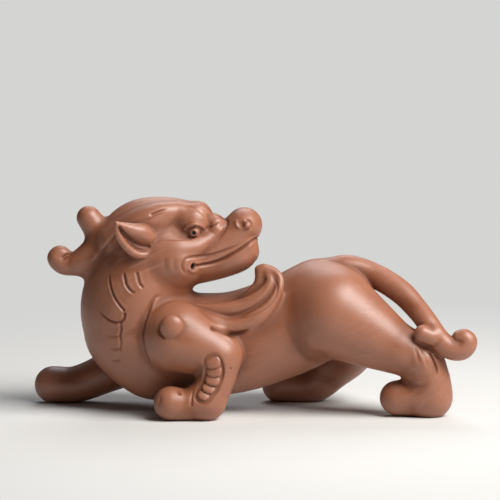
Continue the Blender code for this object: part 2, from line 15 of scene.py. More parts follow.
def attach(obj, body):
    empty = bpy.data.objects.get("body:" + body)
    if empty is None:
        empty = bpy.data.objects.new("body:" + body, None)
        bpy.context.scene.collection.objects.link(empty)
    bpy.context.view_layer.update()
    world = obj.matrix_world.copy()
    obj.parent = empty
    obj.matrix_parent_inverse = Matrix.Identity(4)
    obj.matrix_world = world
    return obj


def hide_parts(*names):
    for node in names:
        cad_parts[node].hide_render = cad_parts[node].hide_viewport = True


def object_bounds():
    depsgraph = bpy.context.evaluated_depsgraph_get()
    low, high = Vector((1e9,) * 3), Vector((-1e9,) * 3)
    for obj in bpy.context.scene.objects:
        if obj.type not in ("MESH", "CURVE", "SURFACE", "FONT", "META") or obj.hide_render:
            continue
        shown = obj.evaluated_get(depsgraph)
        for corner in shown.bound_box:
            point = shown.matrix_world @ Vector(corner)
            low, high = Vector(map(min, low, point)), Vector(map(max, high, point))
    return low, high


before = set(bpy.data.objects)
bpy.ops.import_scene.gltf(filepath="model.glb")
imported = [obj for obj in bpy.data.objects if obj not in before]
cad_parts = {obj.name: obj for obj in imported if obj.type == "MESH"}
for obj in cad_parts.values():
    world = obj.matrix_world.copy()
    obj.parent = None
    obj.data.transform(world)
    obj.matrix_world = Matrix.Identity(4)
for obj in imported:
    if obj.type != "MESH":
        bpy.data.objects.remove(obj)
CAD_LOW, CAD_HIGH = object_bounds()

NODE = "tea_pet"
MM = 0.001

# Camera, as it stood before the figure: the photograph is 500 pixels square
PHOTO_SIDE = 500
LENS = 173.0
SENSOR = 36.0
CAMERA_DISTANCE = 658 * MM
CLIP_RANGE = (0.01, 20.0)
CAMERA_HEIGHT_ANGLE = math.radians(7.0)
AIM_HEIGHT = 27.5 * MM
AIM_PIXEL = (257.5, 309.0)

# Each station below is x, y, z and radius. On paired rolls y is the distance from the middle plane.

# Trunk and neck
CHEST = (-0.0272, 0.0000, 0.0175, 0.0150)
RIBS = (-0.0200, 0.0000, 0.0176, 0.0144)
BELLY = (-0.0060, 0.0000, 0.0184, 0.0139)
LOIN = (0.0080, 0.0000, 0.0230, 0.0138)
RUMP = (0.0175, 0.0000, 0.0278, 0.0136)
NECK_BASE = (-0.0327, 0.0000, 0.0223, 0.0149)
NECK_MIDDLE = (-0.0333, 0.0000, 0.0295, 0.0149)
NECK_TOP = (-0.0310, -0.0010, 0.0410, 0.0125)

# Near hind leg, stretched out behind
NEAR_HIP = (0.0205, -0.0070, 0.0275, 0.0122)
NEAR_THIGH = (0.0300, -0.0095, 0.0221, 0.0092)
NEAR_KNEE = (0.0356, -0.0110, 0.0191, 0.0074)
NEAR_HOCK_TOP = (0.0408, -0.0120, 0.0168, 0.0064)
NEAR_HOCK = (0.0444, -0.0120, 0.0141, 0.0056)
NEAR_SHANK = (0.0464, -0.0120, 0.0095, 0.0056)
NEAR_HEEL = (0.0466, -0.0112, 0.0050, 0.0056)
NEAR_INSTEP = (0.0420, -0.0110, 0.0048, 0.0051)
NEAR_TOES = (0.0377, -0.0110, 0.0047, 0.0047)

# Far hind leg, folded under the belly
FAR_HIP = (0.0200, 0.0080, 0.0258, 0.0120)
FAR_KNEE = (0.0250, 0.0120, 0.0165, 0.0086)
FAR_SHANK = (0.0202, 0.0138, 0.0092, 0.0064)
FAR_HEEL = (0.0150, 0.0140, 0.0048, 0.0055)
FAR_TOES = (0.0060, 0.0140, 0.0042, 0.0047)

# Near foreleg, bent under the shoulder
NEAR_SHOULDER = (-0.0215, -0.0125, 0.0215, 0.0095)
NEAR_UPPER_ARM = (-0.0140, -0.0145, 0.0185, 0.0075)
NEAR_ELBOW = (-0.0107, -0.0155, 0.0168, 0.0062)
NEAR_FOREARM = (-0.0110, -0.0165, 0.0113, 0.0052)
NEAR_WRIST = (-0.0137, -0.0172, 0.0049, 0.0051)
NEAR_PAW = (-0.0190, -0.0178, 0.0040, 0.0043)
NEAR_PAW_TIP = (-0.0232, -0.0180, 0.0043, 0.0046)
SHOULDER_BOSS = (-0.0227, -0.0211, 0.0255, 0.0031)
BOSS_DEPTH_RATIO = 0.6

# Far foreleg, reaching ahead
FAR_SHOULDER = (-0.0240, 0.0105, 0.0210, 0.0095)
FAR_UPPER_ARM = (-0.0330, 0.0120, 0.0130, 0.0070)
FAR_FOREARM = (-0.0420, 0.0120, 0.0082, 0.0056)
FAR_WRIST = (-0.0505, 0.0120, 0.0049, 0.0051)
FAR_PAW_TIP = (-0.0572, 0.0120, 0.0048, 0.0051)

# Head: y is the distance from the head's own middle plane
HEAD_PLANE_Y = -0.0020
SKULL = (-0.0265, 0.0000, 0.0455, 0.0095)
FOREHEAD = (-0.0168, 0.0000, 0.0527, 0.0042)
CROWN = (-0.0250, 0.0000, 0.0533, 0.0051)
MANE_TOP = (-0.0330, 0.0000, 0.0513, 0.0061)
MANE_SIDE_FRONT = (-0.0215, 0.0050, 0.0548, 0.0026)
MANE_SIDE_MIDDLE = (-0.0270, 0.0066, 0.0540, 0.0032)
MANE_SIDE_BACK = (-0.0325, 0.0070, 0.0515, 0.0034)
MANE_SIDE_END = (-0.0390, 0.0048, 0.0475, 0.0030)
MANE_BACK = (-0.0400, 0.0000, 0.0460, 0.0054)
MANE_HOOK_ROOT = (-0.0460, 0.0000, 0.0414, 0.0043)
MANE_HOOK_LOW = (-0.0503, 0.0000, 0.0400, 0.0031)
MANE_HOOK_FRONT = (-0.0530, 0.0000, 0.0402, 0.0029)
MANE_HOOK_RISE = (-0.0547, 0.0000, 0.0417, 0.0026)
MANE_HOOK_TOP = (-0.0537, 0.0000, 0.0429, 0.0023)
MANE_HOOK_END = (-0.0520, 0.0000, 0.0420, 0.0020)
TOP_CURL_ROOT = (-0.0380, 0.0000, 0.0440, 0.0050)
TOP_CURL_NECK = (-0.0425, 0.0000, 0.0480, 0.0038)
TOP_CURL_BALL = (-0.0459, 0.0000, 0.0527, 0.0033)
BROW = (-0.0175, 0.0040, 0.0522, 0.0046)
BROW_BAND_BACK = (-0.0195, 0.0050, 0.0546, 0.0012)
BROW_BAND_TOP = (-0.0160, 0.0046, 0.0556, 0.0014)
BROW_BAND_FRONT = (-0.0140, 0.0040, 0.0541, 0.0014)
BROW_BAND_END = (-0.0132, 0.0036, 0.0525, 0.0011)
BRIDGE = (-0.0117, 0.0000, 0.0521, 0.0019)
BRIDGE_LOBE = (-0.0113, 0.0036, 0.0515, 0.0019)
BRIDGE_LOBE_LOW = (-0.0112, 0.0048, 0.0500, 0.0016)
CHEEK = (-0.0220, 0.0050, 0.0415, 0.0070)
CHEEK_RIDGE_BACK = (-0.0270, 0.0082, 0.0448, 0.0024)
CHEEK_RIDGE = (-0.0223, 0.0086, 0.0450, 0.0026)
CHEEK_RIDGE_EYE = (-0.0180, 0.0078, 0.0450, 0.0025)
CHEEK_RIDGE_RISE = (-0.0147, 0.0063, 0.0465, 0.0022)
CHEEK_RIDGE_FRONT = (-0.0118, 0.0048, 0.0486, 0.0018)
CHEEK_RIDGE_END = (-0.0096, 0.0030, 0.0505, 0.0014)
MUZZLE_BACK = (-0.0200, 0.0000, 0.0430, 0.0062)
MUZZLE = (-0.0115, 0.0000, 0.0453, 0.0054)
SNOUT = (-0.0065, 0.0000, 0.0480, 0.0051)
SNOUT_TIP = (-0.0036, 0.0000, 0.0507, 0.0049)
JAW_BACK = (-0.0200, 0.0000, 0.0395, 0.0055)
JAW = (-0.0115, 0.0000, 0.0400, 0.0042)
JAW_FRONT = (-0.0055, 0.0000, 0.0419, 0.0041)
CHIN = (-0.0029, 0.0000, 0.0434, 0.0034)
JAW_LIP_BACK = (-0.0170, 0.0000, 0.0425, 0.0040)
JAW_LIP = (-0.0090, 0.0000, 0.0442, 0.0036)
JAW_LIP_FRONT = (-0.0034, 0.0000, 0.0462, 0.0031)
THROAT = (-0.0260, 0.0000, 0.0370, 0.0085)
THROAT_FRONT = (-0.0215, 0.0000, 0.0385, 0.0055)
EYEBALL = (-0.0170, 0.0074, 0.0496, 0.0015)
UPPER_LID = (
    (-0.0197, 0.0078, 0.0502, 0.0003),
    (-0.0187, 0.0084, 0.0511, 0.0005),
    (-0.0171, 0.0088, 0.0517, 0.0006),
    (-0.0155, 0.0080, 0.0512, 0.0006),
    (-0.0141, 0.0058, 0.0500, 0.0005),
)
NOSTRIL_BALL = (-0.0028, 0.0061, 0.0512, 0.0011)
EAR_FLAP = (
    (-0.0374, 0.0158, 0.0526, 0.0005),
    (-0.0354, 0.0142, 0.0515, 0.0012),
    (-0.0332, 0.0127, 0.0504, 0.0019),
    (-0.0313, 0.0112, 0.0496, 0.0025),
    (-0.0297, 0.0096, 0.0485, 0.0024),
)
EAR_LEAF = (
    (-0.0374, 0.0158, 0.0524, 0.0006),
    (-0.0373, 0.0148, 0.0502, 0.0008),
    (-0.0362, 0.0138, 0.0477, 0.0010),
    (-0.0343, 0.0127, 0.0453, 0.0011),
    (-0.0321, 0.0117, 0.0438, 0.0011),
    (-0.0299, 0.0107, 0.0438, 0.0010),
    (-0.0284, 0.0096, 0.0455, 0.0009),
)
EAR_DISH = (
    (-0.0364, 0.0138, 0.0503, 0.0009),
    (-0.0345, 0.0116, 0.0485, 0.0018),
    (-0.0320, 0.0094, 0.0468, 0.0026),
    (-0.0296, 0.0080, 0.0462, 0.0030),
)
MUZZLE_WIDTH_RATIO = 1.35
JAW_WIDTH_RATIO = 1.5
JAW_LIP_WIDTH_RATIO = 1.75
BRIDGE_WIDTH_RATIO = 2.2

# Tail, arched over the near hind leg, with a curl at its end and one that rests on the hock
TAIL_START = (0.0165, 0.0000, 0.0355, 0.0046)
TAIL_ROOT = (0.0240, 0.0000, 0.0387, 0.0037)
TAIL_ARCH = (0.0318, -0.0010, 0.0368, 0.0034)
TAIL_UPPER = (0.0387, -0.0050, 0.0329, 0.0033)
TAIL_MIDDLE = (0.0430, -0.0090, 0.0286, 0.0030)
TAIL_LOWER = (0.0458, -0.0132, 0.0251, 0.0029)
TAIL_BEND = (0.0483, -0.0155, 0.0214, 0.0030)
TAIL_TURN = (0.0513, -0.0160, 0.0190, 0.0030)
TAIL_HOOK = (0.0543, -0.0160, 0.0187, 0.0031)
TAIL_HOOK_TOP = (0.0559, -0.0160, 0.0203, 0.0029)
TAIL_HOOK_BACK = (0.0553, -0.0160, 0.0215, 0.0026)
TAIL_END = (0.0541, -0.0160, 0.0216, 0.0022)
SIDE_CURL_ROOT = (0.0475, -0.0162, 0.0226, 0.0024)
SIDE_CURL = (0.0462, -0.0172, 0.0222, 0.0022)
SIDE_CURL_BALL = (0.0440, -0.0172, 0.0230, 0.0023)

# Flame-like wing on each flank, three ribbons that sweep up to one tip
WING_LOWER_RIBBON = (
    (-0.0154, 0.0122, 0.0278, 0.0006),
    (-0.0119, 0.0128, 0.0262, 0.0014),
    (-0.0079, 0.0129, 0.0246, 0.0020),
    (-0.0036, 0.0128, 0.0251, 0.0022),
    (0.0001, 0.0128, 0.0272, 0.0021),
    (0.0028, 0.0124, 0.0296, 0.0017),
    (0.0047, 0.0118, 0.0322, 0.0014),
    (0.0059, 0.0112, 0.0348, 0.0012),
    (0.0059, 0.0102, 0.0372, 0.0011),
    (0.0042, 0.0092, 0.0390, 0.0011),
    (0.0018, 0.0088, 0.0399, 0.0010),
)
WING_MIDDLE_RIBBON = (
    (-0.0163, 0.0098, 0.0294, 0.0006),
    (-0.0122, 0.0106, 0.0285, 0.0016),
    (-0.0079, 0.0110, 0.0287, 0.0020),
    (-0.0036, 0.0110, 0.0297, 0.0021),
    (-0.0001, 0.0110, 0.0316, 0.0020),
    (0.0023, 0.0106, 0.0338, 0.0018),
    (0.0035, 0.0100, 0.0361, 0.0016),
    (0.0028, 0.0092, 0.0379, 0.0014),
    (0.0015, 0.0087, 0.0392, 0.0011),
)
WING_INNER_RIBBON = (
    (-0.0060, 0.0088, 0.0295, 0.0006),
    (-0.0022, 0.0090, 0.0325, 0.0013),
    (0.0003, 0.0090, 0.0353, 0.0015),
    (0.0008, 0.0088, 0.0375, 0.0015),
    (0.0005, 0.0086, 0.0392, 0.0013),
)
WING_BED = ((-0.0030, 0.0078, 0.0288, 0.0014), (0.0014, 0.0079, 0.0327, 0.0015))
FAR_WING_DROP = 0.0026

# How far neighbouring rolls run into each other
BODY_BLEND = 4.0 * MM
LIMB_BLEND = 3.0 * MM
JOINT_BLEND = 2.0 * MM
FACE_BLEND = 1.5 * MM
EDGE_BLEND = 0.8 * MM
SOFT_EDGE_BLEND = 1.1 * MM
CRISP_BLEND = 0.4 * MM

# Lines on the head, in the photograph's pixels
MOUTH_LINE = (
    (193.2, 266.9), (199.7, 265.4), (211.2, 263.1), (222.7, 259.3),
    (234.2, 253.1), (241.8, 248.6), (249.5, 243.2), (256.5, 238.0),
)
MOUTH_WIDTH = 0.36 * MM
MOUTH_DEPTH = 0.85 * MM
MOUTH_CORNER = (193.5, 266.5)
UPPER_LIP = (
    (188.0, 275.0), (184.2, 272.2), (182.0, 268.2), (182.2, 263.8), (184.6, 259.8), (188.8, 257.8),
    (195.0, 257.0), (203.0, 256.2), (212.5, 254.6), (225.0, 250.4), (237.5, 245.0), (244.0, 241.8),
)
CORNER_RIM = ((187.5, 267.5), (190.5, 271.0), (194.0, 272.0), (199.0, 269.8))
CHEEK_ARC = ((176.0, 256.5), (173.8, 262.0), (174.0, 268.0), (176.5, 273.0))
CHEEK_ARC_BACK = ((167.0, 256.5), (165.2, 262.0), (165.4, 267.5), (167.5, 272.0))
MUZZLE_EDGE = (
    (157.7, 241.9), (165.0, 240.9), (173.0, 240.3), (182.0, 240.5), (190.0, 240.2), (196.0, 237.6),
    (200.5, 233.6), (205.0, 230.6), (211.0, 227.9), (216.6, 224.1), (221.2, 219.9),
)
MUZZLE_LEAF = (
    (225.0, 219.8), (226.2, 222.5), (225.3, 226.8), (222.0, 231.5), (218.0, 236.0), (213.0, 240.8),
)
NOSTRIL_WING = ((236.0, 221.0), (236.6, 225.0), (239.6, 227.9), (243.6, 228.3), (246.2, 226.8))
NOSTRIL_HOLLOW = (241.6, 223.8)
NOSTRIL_OUTLINE = ((244.6, 220.4), (248.5, 220.2), (251.3, 223.0), (251.6, 226.6), (249.6, 230.0))
BROW_RIDGE = (
    (184.0, 207.6), (188.5, 206.8), (194.0, 208.0), (199.0, 210.8), (203.6, 214.6), (206.8, 218.0),
)
BRIDGE_CREASE = ((210.6, 212.0), (208.4, 215.6), (207.8, 219.6), (209.4, 223.4), (212.0, 226.0))
FOREHEAD_SLIT = ((149.8, 215.8), (155.0, 213.0), (161.0, 210.6), (168.0, 208.2))
FOREHEAD_FOLD = ((143.5, 221.0), (150.0, 217.8), (158.0, 214.3), (168.5, 210.8))
LID_SHADOW = ((187.5, 230.5), (191.0, 227.6), (196.0, 226.6), (201.0, 228.4), (204.5, 231.0))
PUPIL = (193.6, 233.2)
MANE_EDGE = ((118.0, 231.0), (111.0, 238.5), (104.0, 247.5), (96.0, 257.5), (88.0, 267.0))
HOOK_SPIRAL = ((71.5, 254.0), (67.5, 254.6), (63.8, 257.6), (62.8, 261.2))

EAR_FOLD_LINE = (
    (118.6, 225.4), (121.0, 230.0), (126.3, 236.6), (134.2, 242.6), (142.4, 246.2), (151.0, 246.9),
)

# Neck plates and chest
PLATE_FRONT = (
    (110.6, 270.0), (109.2, 278.0), (111.0, 288.0), (114.6, 297.6), (120.0, 306.0), (124.6, 311.2),
)
PLATE_END = (
    (124.6, 312.6), (123.6, 318.8), (120.4, 322.0), (115.6, 322.6), (108.8, 320.0), (102.0, 313.8),
    (98.0, 306.0),
)
PLATE_MIDDLE = ((123.4, 271.0), (124.6, 278.0), (126.6, 285.4), (131.4, 291.6), (136.6, 293.4))
PLATE_BACK = ((136.4, 270.4), (137.6, 277.0), (139.6, 284.0), (144.0, 289.6))
PLATE_SWELLS = ((117.0, 288.0), (131.0, 281.0), (112.5, 310.0))
SCUTE_EDGE = (
    (119.8, 322.0), (121.0, 329.0), (119.8, 336.0), (120.8, 343.0), (120.2, 349.0), (120.8, 360.0),
)
SCUTES = (
    ((104.0, 333.4), (111.0, 337.0), (119.8, 336.4)),
    ((106.6, 345.6), (113.0, 349.4), (120.2, 348.8)),
    ((110.0, 357.6), (115.0, 360.8), (120.6, 360.2)),
)

# Shoulder, wing, legs and tail
SHOULDER_EDGE = (
    (164.0, 295.6), (156.0, 298.4), (151.8, 304.6), (148.0, 317.0), (144.6, 331.0), (145.0, 345.0),
    (149.6, 358.6), (157.0, 369.6),
)
BOSS_CRESCENT = ((159.6, 326.0), (158.6, 330.6), (161.4, 335.8), (166.6, 338.6))
WING_INNER_LINE = (
    (266.4, 279.3), (265.0, 286.4), (259.3, 293.6), (247.9, 299.3), (232.1, 302.1), (218.0, 302.6),
)
WING_OUTER_LINE = (
    (270.7, 276.4), (277.1, 283.6), (276.4, 293.6), (270.7, 303.6), (260.7, 311.4), (246.4, 317.1),
    (227.9, 317.9),
)
WING_UNDERCUT = (
    (209.2, 327.6), (213.2, 327.2), (218.6, 328.8), (225.2, 332.0), (232.6, 334.6), (241.2, 333.2),
    (252.0, 328.0),
)
ARM_RIM = ((208.8, 329.6), (213.0, 328.8), (221.0, 332.8), (231.6, 340.4), (238.6, 349.0))
PAD_PATH = ((212.8, 362.6), (214.0, 371.0), (212.4, 380.0), (208.4, 388.2), (203.4, 395.0))
PAD_TRACK_EDGE = (
    (207.0, 359.4), (212.0, 357.2), (217.4, 358.6), (221.6, 362.6), (223.2, 369.0), (222.6, 376.5),
    (219.0, 386.0),
)
PAD_TRACK_RIM = ((204.6, 359.5), (205.2, 367.0), (203.2, 375.5), (199.6, 382.5))
FOREARM_PIN_PRICK = (230.6, 368.4)
TOE_CREASE = ((177.4, 388.6), (178.4, 392.2), (181.4, 395.8))
WRIST_CREASE = ((193.6, 388.4), (191.8, 397.1), (191.4, 407.1))
PAW_FRONT_CREASE = ((162.0, 394.0), (159.4, 400.0), (159.8, 408.0))
HOCK_TUFT = ((418.4, 349.0), (422.6, 361.4), (426.0, 375.0))
HOCK_TUFT_EDGE = ((429.0, 352.0), (433.6, 360.6), (436.4, 369.6), (436.2, 377.0))
HOCK_STRANDS = (
    ((415.0, 346.5), (417.4, 356.0), (421.6, 367.0)),
    ((421.6, 349.6), (424.8, 359.0), (428.4, 369.6)),
)
HOCK_HOLLOW = (420.4, 347.4)
INSTEP_SWELL = (411.6, 394.6)

# Pads down the forearm: a row of pillows in a shallow track, each lying over the next
PAD_COUNT = 5
PAD_HALF_WIDTH = 2.05 * MM
PAD_HALF_LENGTH = 1.8 * MM
PAD_THICKNESS = 0.62 * MM
PAD_ROUNDNESS = 0.82
PAD_TILT = math.radians(20.0)
PAD_SHRINK_START = 0.4
PAD_LAST_SHARE = 0.78
PAD_GRID = 17
PAD_SINK = 0.45 * MM
TRACK_HALF_WIDTH = 2.3 * MM
TRACK_WALL = 0.7 * MM
TRACK_DEPTH = 0.28 * MM

# Fired clay: linear colours, gloss and grain, with painted shade for hollows and pits and a painted
# highlight for proud edges
CLAY_PALE_SIDE = (0.280, 0.086, 0.033)
CLAY_DARK_SIDE = (0.220, 0.064, 0.023)
CLAY_GRIT = (0.130, 0.042, 0.019)
CLAY_BURNISHED = (0.360, 0.155, 0.095)
CLAY_SPECK = (0.110, 0.038, 0.020)
# Painted highlight: proud edges are paler, where light catches them
CLAY_PAINTED_EDGE_HIGHLIGHT = (0.400, 0.175, 0.110)
# Painted shade: the hollows are darker, where shade falls
CLAY_PAINTED_HOLLOW_SHADE = (0.095, 0.030, 0.015)
# Painted shade: near black in pits such as the pupil and mouth corners, where light does not reach
CLAY_PAINTED_PIT_SHADE = (0.006, 0.004, 0.004)
CLAY_GLOSS = 0.50
CLAY_IOR = 1.62
CLAY_GLOSS_SPREAD = 0.05
GRAIN_HEIGHT = 0.03 * MM
GRAIN_SCALE = 4200.0
SPECK_SCALE = 1300.0
SPECK_RANGE = (0.66, 0.76)
CLOUD_SCALE = 75.0
STREAK_TURN = math.radians(24.0)
STREAK_SCALE = 900.0
STREAK_LENGTH_SHARE = 0.06
STREAK_HEIGHT_SHARE = 1.2
STREAK_PATCH_SCALE = 55.0
STREAK_PATCH_RANGE = (0.42, 0.62)
RELIEF_ROUNDS = 24
RELIEF_HEIGHT = 0.11 * MM
# How wide the painted shade of a pit spreads, as a share of its radius
PIT_SPREAD = 1.2

# Making of the surface
COARSE_VOXEL = 0.6 * MM
FINE_VOXEL = 0.27 * MM
BALL_SPACING_RATIO = 0.35
COARSE_BALL_RADIUS = 3.0 * MM
STEPS_PER_SPAN = 6
STEEPEST_FLARE = 0.95
FIELD_STEP = 0.05 * MM
LEAST_SLOPE = 0.3
COARSE_ROUNDS = 4
FINE_ROUNDS = 3
SMOOTH_FACTOR = 0.5
SMOOTH_ROUNDS = 3
STRAY_HEIGHT = 0.04 * MM
STRAY_ROUNDS = 6
SMALLEST_BIT = 2000
MOST_TRIANGLES = 192000

NEAR = -1.0
FAR = 1.0

# An overlapping edge: how much of its height is raised, and how narrow its low side is
RAISED_SHARE = 0.4
LOW_SIDE_SHARE = 0.4

# Studio: lamps are name, place in metres, side in metres, power in watts, colour
FLOOR_SIDE = 6.0
FLOOR_GAP = 0.2 * MM
PAPER_COLOUR = (0.64, 0.635, 0.62)
PAPER_ROUGHNESS = 0.85
PAPER_SHINE = 0.2
BACKDROP_COLOUR = (0.66, 0.66, 0.65)
PAPER_FADE_START = 0.09
PAPER_FADE_STOP = 0.26
SKY_COLOUR = (0.90, 0.94, 1.0)
SKY_STRENGTH = 0.06
LAMPS = (
    ("key", (0.38, -0.27, 0.50), 0.42, 8.0, (1.0, 0.98, 0.95)),
    ("rim", (0.00, 0.38, 0.45), 0.35, 1.2, (0.95, 0.97, 1.0)),
)
LAMP_AIM = Vector((0.0, 0.0, 25 * MM))


class Roll:
    """A row of balls along a path, with a width ratio on each axis."""

    def __init__(self, stations, blend, ratio=(1.0, 1.0, 1.0)):
        points = np.array(stations, float)
        if len(points) > 1:
            points = smooth_path(points, STEPS_PER_SPAN)
        self.ratio = np.array(ratio)
        self.centres = points[:, :3]
        self.radii = points[:, 3]
        self.blend = blend

    def bounds(self, reach):
        """Corners of the box in which the roll can be felt."""
        extent = self.radii[:, None] * self.ratio + reach
        return (self.centres - extent).min(0), (self.centres + extent).max(0)

    def distance(self, points):
        """Distance of points to the roll, negative inside."""
        squeezed = points / self.ratio
        centres = self.centres / self.ratio
        if len(centres) == 1:
            gap = np.linalg.norm(squeezed - centres[0], axis=1) - self.radii[0]
            return gap * self.ratio.mean()
        nearest = np.full(len(points), np.inf)
        for start in range(len(centres) - 1):
            growth = self.radii[start + 1] - self.radii[start]
            ends = centres[start], centres[start + 1]
            gap = cone_distance(squeezed, *ends, self.radii[start], growth)
            np.minimum(nearest, gap, out=nearest)
        return nearest * self.ratio.mean()


def cone_distance(points, start, stop, radius, growth):
    """Distance to two balls and the cone that touches both, the second ball larger by growth."""
    along = stop - start
    length = np.linalg.norm(along)
    offset = points - start
    axial = offset @ along / length
    across = np.sqrt(np.maximum((offset ** 2).sum(1) - axial ** 2, 0.0))
    flare = min(max(growth / length, -STEEPEST_FLARE), STEEPEST_FLARE)
    share = np.clip((axial + across * flare / math.sqrt(1.0 - flare ** 2)) / length, 0.0, 1.0)
    return np.linalg.norm(offset - share[:, None] * along, axis=1) - (radius + growth * share)


def smooth_path(points, steps):
    """Catmull-Rom curve through the points."""
    points = np.asarray(points, float)
    ends = np.vstack([2 * points[0] - points[1], points, 2 * points[-1] - points[-2]])
    path = []
    for i in range(1, len(ends) - 2):
        before, start, stop, after = ends[i - 1:i + 3]
        for step in range(steps):
            t = step / steps
            linear = (stop - before) * t
            square = (2 * before - 5 * start + 4 * stop - after) * t ** 2
            cube = (3 * start - before - 3 * stop + after) * t ** 3
            path.append(0.5 * (2 * start + linear + square + cube))
    path.append(points[-1])
    return np.array(path)


def clay_field(rolls, points):
    """Signed distance to the blended clay."""
    outside = 1.0
    field = np.full(len(points), outside)
    for roll in rolls:
        low, high = roll.bounds(2 * roll.blend + COARSE_VOXEL)
        inside_box = np.nonzero(np.all((points > low) & (points < high), axis=1))[0]
        if len(inside_box) == 0:
            continue
        new = roll.distance(points[inside_box])
        old = field[inside_box]
        overlap = np.maximum(roll.blend - np.abs(old - new), 0.0) / roll.blend
        field[inside_box] = np.minimum(old, new) - overlap ** 2 * roll.blend / 4
    return field


def paired(stations, side, plane_y=0.0):
    """Stations of one side's roll, whose y is the distance from a middle plane."""
    return [(x, plane_y + side * y, z, radius) for x, y, z, radius in stations]


def on_head(*stations):
    """Stations in the head's middle plane."""
    return paired(stations, FAR, HEAD_PLANE_Y)


def body_rolls():
    """Trunk, neck and legs."""
    return [
        Roll([CHEST, RIBS, BELLY, LOIN, RUMP], BODY_BLEND),
        Roll([NECK_BASE, NECK_MIDDLE, NECK_TOP], LIMB_BLEND),
        Roll([NEAR_HIP, NEAR_THIGH, NEAR_KNEE, NEAR_HOCK_TOP, NEAR_HOCK], LIMB_BLEND),
        Roll([NEAR_HOCK, NEAR_SHANK, NEAR_HEEL], JOINT_BLEND),
        Roll([NEAR_HEEL, NEAR_INSTEP, NEAR_TOES], JOINT_BLEND),
        Roll([FAR_HIP, FAR_KNEE, FAR_SHANK, FAR_HEEL, FAR_TOES], LIMB_BLEND),
        Roll([NEAR_SHOULDER, NEAR_UPPER_ARM, NEAR_ELBOW], JOINT_BLEND),
        Roll([NEAR_ELBOW, NEAR_FOREARM, NEAR_WRIST], FACE_BLEND),
        Roll([NEAR_WRIST, NEAR_PAW, NEAR_PAW_TIP], FACE_BLEND),
        Roll([FAR_SHOULDER, FAR_UPPER_ARM, FAR_FOREARM, FAR_WRIST, FAR_PAW_TIP], LIMB_BLEND),
    ]


def head_rolls():
    """Skull, swept-back mane with its two curls, muzzle, jaw and brows."""
    mane = on_head(
        FOREHEAD, CROWN, MANE_TOP, MANE_BACK, MANE_HOOK_ROOT, MANE_HOOK_LOW,
        MANE_HOOK_FRONT, MANE_HOOK_RISE, MANE_HOOK_TOP, MANE_HOOK_END,
    )
    rolls = [
        Roll(on_head(SKULL), BODY_BLEND),
        Roll(mane, LIMB_BLEND),
        Roll(on_head(TOP_CURL_ROOT, TOP_CURL_NECK, TOP_CURL_BALL), JOINT_BLEND),
    ]
    mane_side = [MANE_SIDE_FRONT, MANE_SIDE_MIDDLE, MANE_SIDE_BACK, MANE_SIDE_END]
    cheek_ridge = [
        CHEEK_RIDGE_BACK, CHEEK_RIDGE, CHEEK_RIDGE_EYE,
        CHEEK_RIDGE_RISE, CHEEK_RIDGE_FRONT, CHEEK_RIDGE_END,
    ]
    brow_band = [BROW_BAND_BACK, BROW_BAND_TOP, BROW_BAND_FRONT, BROW_BAND_END]
    for side in (NEAR, FAR):
        rolls.append(Roll(paired(mane_side, side, HEAD_PLANE_Y), LIMB_BLEND))
        rolls.append(Roll(paired([BROW], side, HEAD_PLANE_Y), JOINT_BLEND))
        rolls.append(Roll(paired([CHEEK], side, HEAD_PLANE_Y), LIMB_BLEND))
    muzzle = on_head(MUZZLE_BACK, MUZZLE, SNOUT, SNOUT_TIP)
    jaw = on_head(JAW_BACK, JAW, JAW_FRONT, CHIN)
    jaw_lip = on_head(JAW_LIP_BACK, JAW_LIP, JAW_LIP_FRONT)
    rolls.append(Roll(muzzle, JOINT_BLEND, ratio=(1.0, MUZZLE_WIDTH_RATIO, 1.0)))
    rolls.append(Roll(jaw_lip, FACE_BLEND, ratio=(1.0, JAW_LIP_WIDTH_RATIO, 1.0)))
    rolls.append(Roll(jaw, JOINT_BLEND, ratio=(1.0, JAW_WIDTH_RATIO, 1.0)))
    rolls.append(Roll(on_head(THROAT, THROAT_FRONT), FACE_BLEND))
    for side in (NEAR, FAR):
        rolls.append(Roll(paired(cheek_ridge, side, HEAD_PLANE_Y), EDGE_BLEND))
        rolls.append(Roll(paired(brow_band, side, HEAD_PLANE_Y), EDGE_BLEND))
    rolls.append(Roll(on_head(BRIDGE), FACE_BLEND, ratio=(1.0, BRIDGE_WIDTH_RATIO, 1.0)))
    for side in (NEAR, FAR):
        rolls.append(Roll(paired([BRIDGE_LOBE, BRIDGE_LOBE_LOW], side, HEAD_PLANE_Y), EDGE_BLEND))
        for row in (EAR_DISH, EAR_LEAF, EAR_FLAP, [EYEBALL], UPPER_LID, [NOSTRIL_BALL]):
            rolls.append(Roll(paired(row, side, HEAD_PLANE_Y), CRISP_BLEND))
    return rolls


def tail_rolls():
    """The arched tail, its end curl, and the side curl that rests on the hock."""
    tail = [
        TAIL_START, TAIL_ROOT, TAIL_ARCH, TAIL_UPPER, TAIL_MIDDLE, TAIL_LOWER, TAIL_BEND,
        TAIL_TURN, TAIL_HOOK, TAIL_HOOK_TOP, TAIL_HOOK_BACK, TAIL_END,
    ]
    return [
        Roll(tail, SOFT_EDGE_BLEND),
        Roll([SIDE_CURL_ROOT, SIDE_CURL, SIDE_CURL_BALL], SOFT_EDGE_BLEND),
    ]


def wing_rolls():
    """Three ribbons on each flank; the far wing lies lower."""
    rolls = []
    for side, drop in ((NEAR, 0.0), (FAR, FAR_WING_DROP)):
        for ribbon, blend in (
            (WING_LOWER_RIBBON, JOINT_BLEND),
            (WING_MIDDLE_RIBBON, SOFT_EDGE_BLEND),
            (WING_INNER_RIBBON, EDGE_BLEND),
            (WING_BED, EDGE_BLEND),
        ):
            lowered = [(x, y, z - drop, radius) for x, y, z, radius in ribbon]
            rolls.append(Roll(paired(lowered, side), blend))
    return rolls


